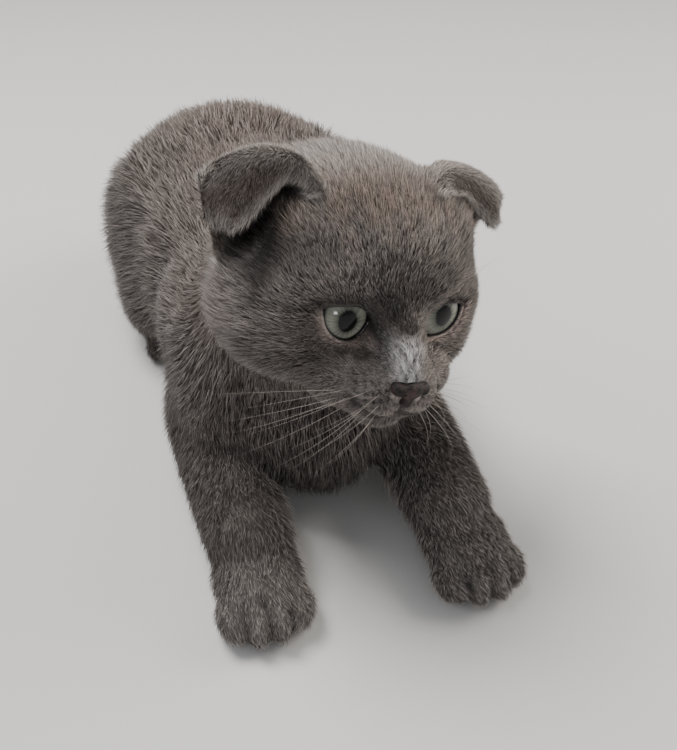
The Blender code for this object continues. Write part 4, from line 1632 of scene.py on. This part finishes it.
def pad_whiskers(surface, sign, chance):
    """Four rows on one pad, each row more drooping than the one above it."""
    hairs = []
    for row, (columns, lean) in enumerate(((4, -0.02), (4, -0.28), (4, -0.62), (2, -1.05))):
        for column in range(columns):
            x = 6.4 + 2.5 * column + chance.uniform(-0.3, 0.3)
            z = -10.6 - 2.1 * row - 0.5 * column + chance.uniform(-0.25, 0.25)
            root = on_skin(surface, sign * x, z)
            if not root:
                continue
            drop = lean + chance.uniform(-0.12, 0.12)
            way = HEAD_TURN @ Vector((sign, -0.65 + 0.26 * column, drop))
            droop = HEAD_TURN @ Vector((sign * 0.05, 0.85, -0.75)) * chance.uniform(0.6, 1.3)
            length = (19 + 3.4 * column + 2.0 * (1.5 - abs(row - 1.5))) * chance.uniform(0.85, 1.1)
            hairs.append(whisker_rings(root, way, droop, length * MM, WHISKER))
    return hairs


def brow_whiskers(surface, sign):
    """Four short ones over one eye."""
    hairs = []
    for k in range(4):
        root = on_skin(surface, sign * (12 + 1.4 * k), 9.5 + 0.4 * k)
        if root:
            way = HEAD_TURN @ Vector((sign * (0.2 + 0.12 * k), -0.9, 1.0))
            droop = HEAD_TURN @ Vector((sign * 0.3, 0.5, 0.1))
            hairs.append(whisker_rings(root, way, droop, 11 * MM, BROW_WHISKER))
    return hairs


class KITTEN_OT_whiskers(Operator):
    """Make the whiskers on the pads and over the eyes"""

    bl_idname = "kitten.whiskers"
    bl_label = "Whiskers"

    def execute(self, context):
        chance = np.random.default_rng(5)
        shape = bmesh_of(bpy.data.objects["skin"].data)
        surface = BVHTree.FromBMesh(shape)
        shape.free()
        mat = whisker_material()
        for side, sign in SIDES.items():
            hairs = pad_whiskers(surface, sign, chance) + brow_whiskers(surface, sign)
            whiskers = tubes(f"whiskers_{side}", hairs, False, mat)
            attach(whiskers, BODY)
        return {"FINISHED"}


# Stage


def area_light(name, place, watts, size, colour):
    light = bpy.data.lights.new(name, "AREA")
    light.energy = watts
    light.size = size
    light.color = colour
    obj = link(bpy.data.objects.new(name, light))
    obj.location = place
    obj.rotation_euler = (Vector(AIM) - Vector(place)).to_track_quat("-Z", "Y").to_euler()


def set_camera(scene, focal_length):
    lens = bpy.data.cameras.new("camera")
    lens.sensor_fit = "HORIZONTAL"
    lens.sensor_width = 36
    lens.lens = focal_length
    lens.clip_start = 0.01
    camera = link(bpy.data.objects.new("camera", lens))
    camera.location = CAMERA_AT
    level = math.cos(CAMERA_ELEVATION)
    x, y = -math.sin(CAMERA_AZIMUTH) * level, math.cos(CAMERA_AZIMUTH) * level
    ahead = Vector((x, y, -math.sin(CAMERA_ELEVATION)))
    camera.rotation_euler = ahead.to_track_quat("-Z", "Y").to_euler()
    scene.camera = camera


def set_sky(scene):
    world = scene.world or bpy.data.worlds.new("world")
    scene.world = world
    world.use_nodes = True
    sky = world.node_tree.nodes["Background"]
    sky.inputs["Color"].default_value = (0.83, 0.85, 0.88, 1)
    sky.inputs["Strength"].default_value = 0.42


class KITTEN_OT_stage(Operator):
    """Set the camera, the soft lights and the plain floor"""

    bl_idname = "kitten.stage"
    bl_label = "Stage"

    def execute(self, context):
        stage = context.scene.kitten_stage
        set_camera(context.scene, stage.lens)
        for name, (place, share, size, colour) in LIGHTS.items():
            area_light(name, place, stage.key * share, size, colour)
        set_sky(context.scene)
        shape = bmesh.new()
        bmesh.ops.create_grid(shape, x_segments=1, y_segments=1, size=3)
        floor = object_from("floor", shape)
        floor.data.materials.append(Shader("floor").finished(Base_Color=(*stage.floor, 1), Roughness=0.9))
        return {"FINISHED"}


class KITTEN_PT_panel(Panel):
    """Buttons that make the kitten's pieces"""

    bl_label = "Kitten"
    bl_idname = "KITTEN_PT_panel"
    bl_space_type = "VIEW_3D"
    bl_region_type = "UI"
    bl_category = "Kitten"

    def draw(self, context):
        layout = self.layout
        for operator in OPERATORS:
            layout.operator(operator.bl_idname)
        for group in GROUPS:
            box = layout.box()
            for name in GROUPS[group].__annotations__:
                box.prop(getattr(context.scene, group), name)


OPERATORS = (
    KITTEN_OT_stage,
    KITTEN_OT_skin,
    KITTEN_OT_eyes,
    KITTEN_OT_nose,
    KITTEN_OT_coat,
    KITTEN_OT_whiskers,
)
GROUPS = {"kitten_coat": KittenCoat, "kitten_eyes": KittenEyes, "kitten_stage": KittenStage}


def register():
    for name, group in GROUPS.items():
        bpy.utils.register_class(group)
        setattr(bpy.types.Scene, name, PointerProperty(type=group))
    for operator in (*OPERATORS, KITTEN_PT_panel):
        bpy.utils.register_class(operator)


def unregister():
    for operator in (KITTEN_PT_panel, *reversed(OPERATORS)):
        bpy.utils.unregister_class(operator)
    for name, group in GROUPS.items():
        delattr(bpy.types.Scene, name)
        bpy.utils.unregister_class(group)


def main():
    register()
    bpy.ops.kitten.stage()
    bpy.ops.kitten.skin()
    bpy.ops.kitten.eyes()
    bpy.ops.kitten.nose()
    bpy.ops.kitten.coat()
    bpy.ops.kitten.whiskers()


if __name__ == "__main__":
    main()
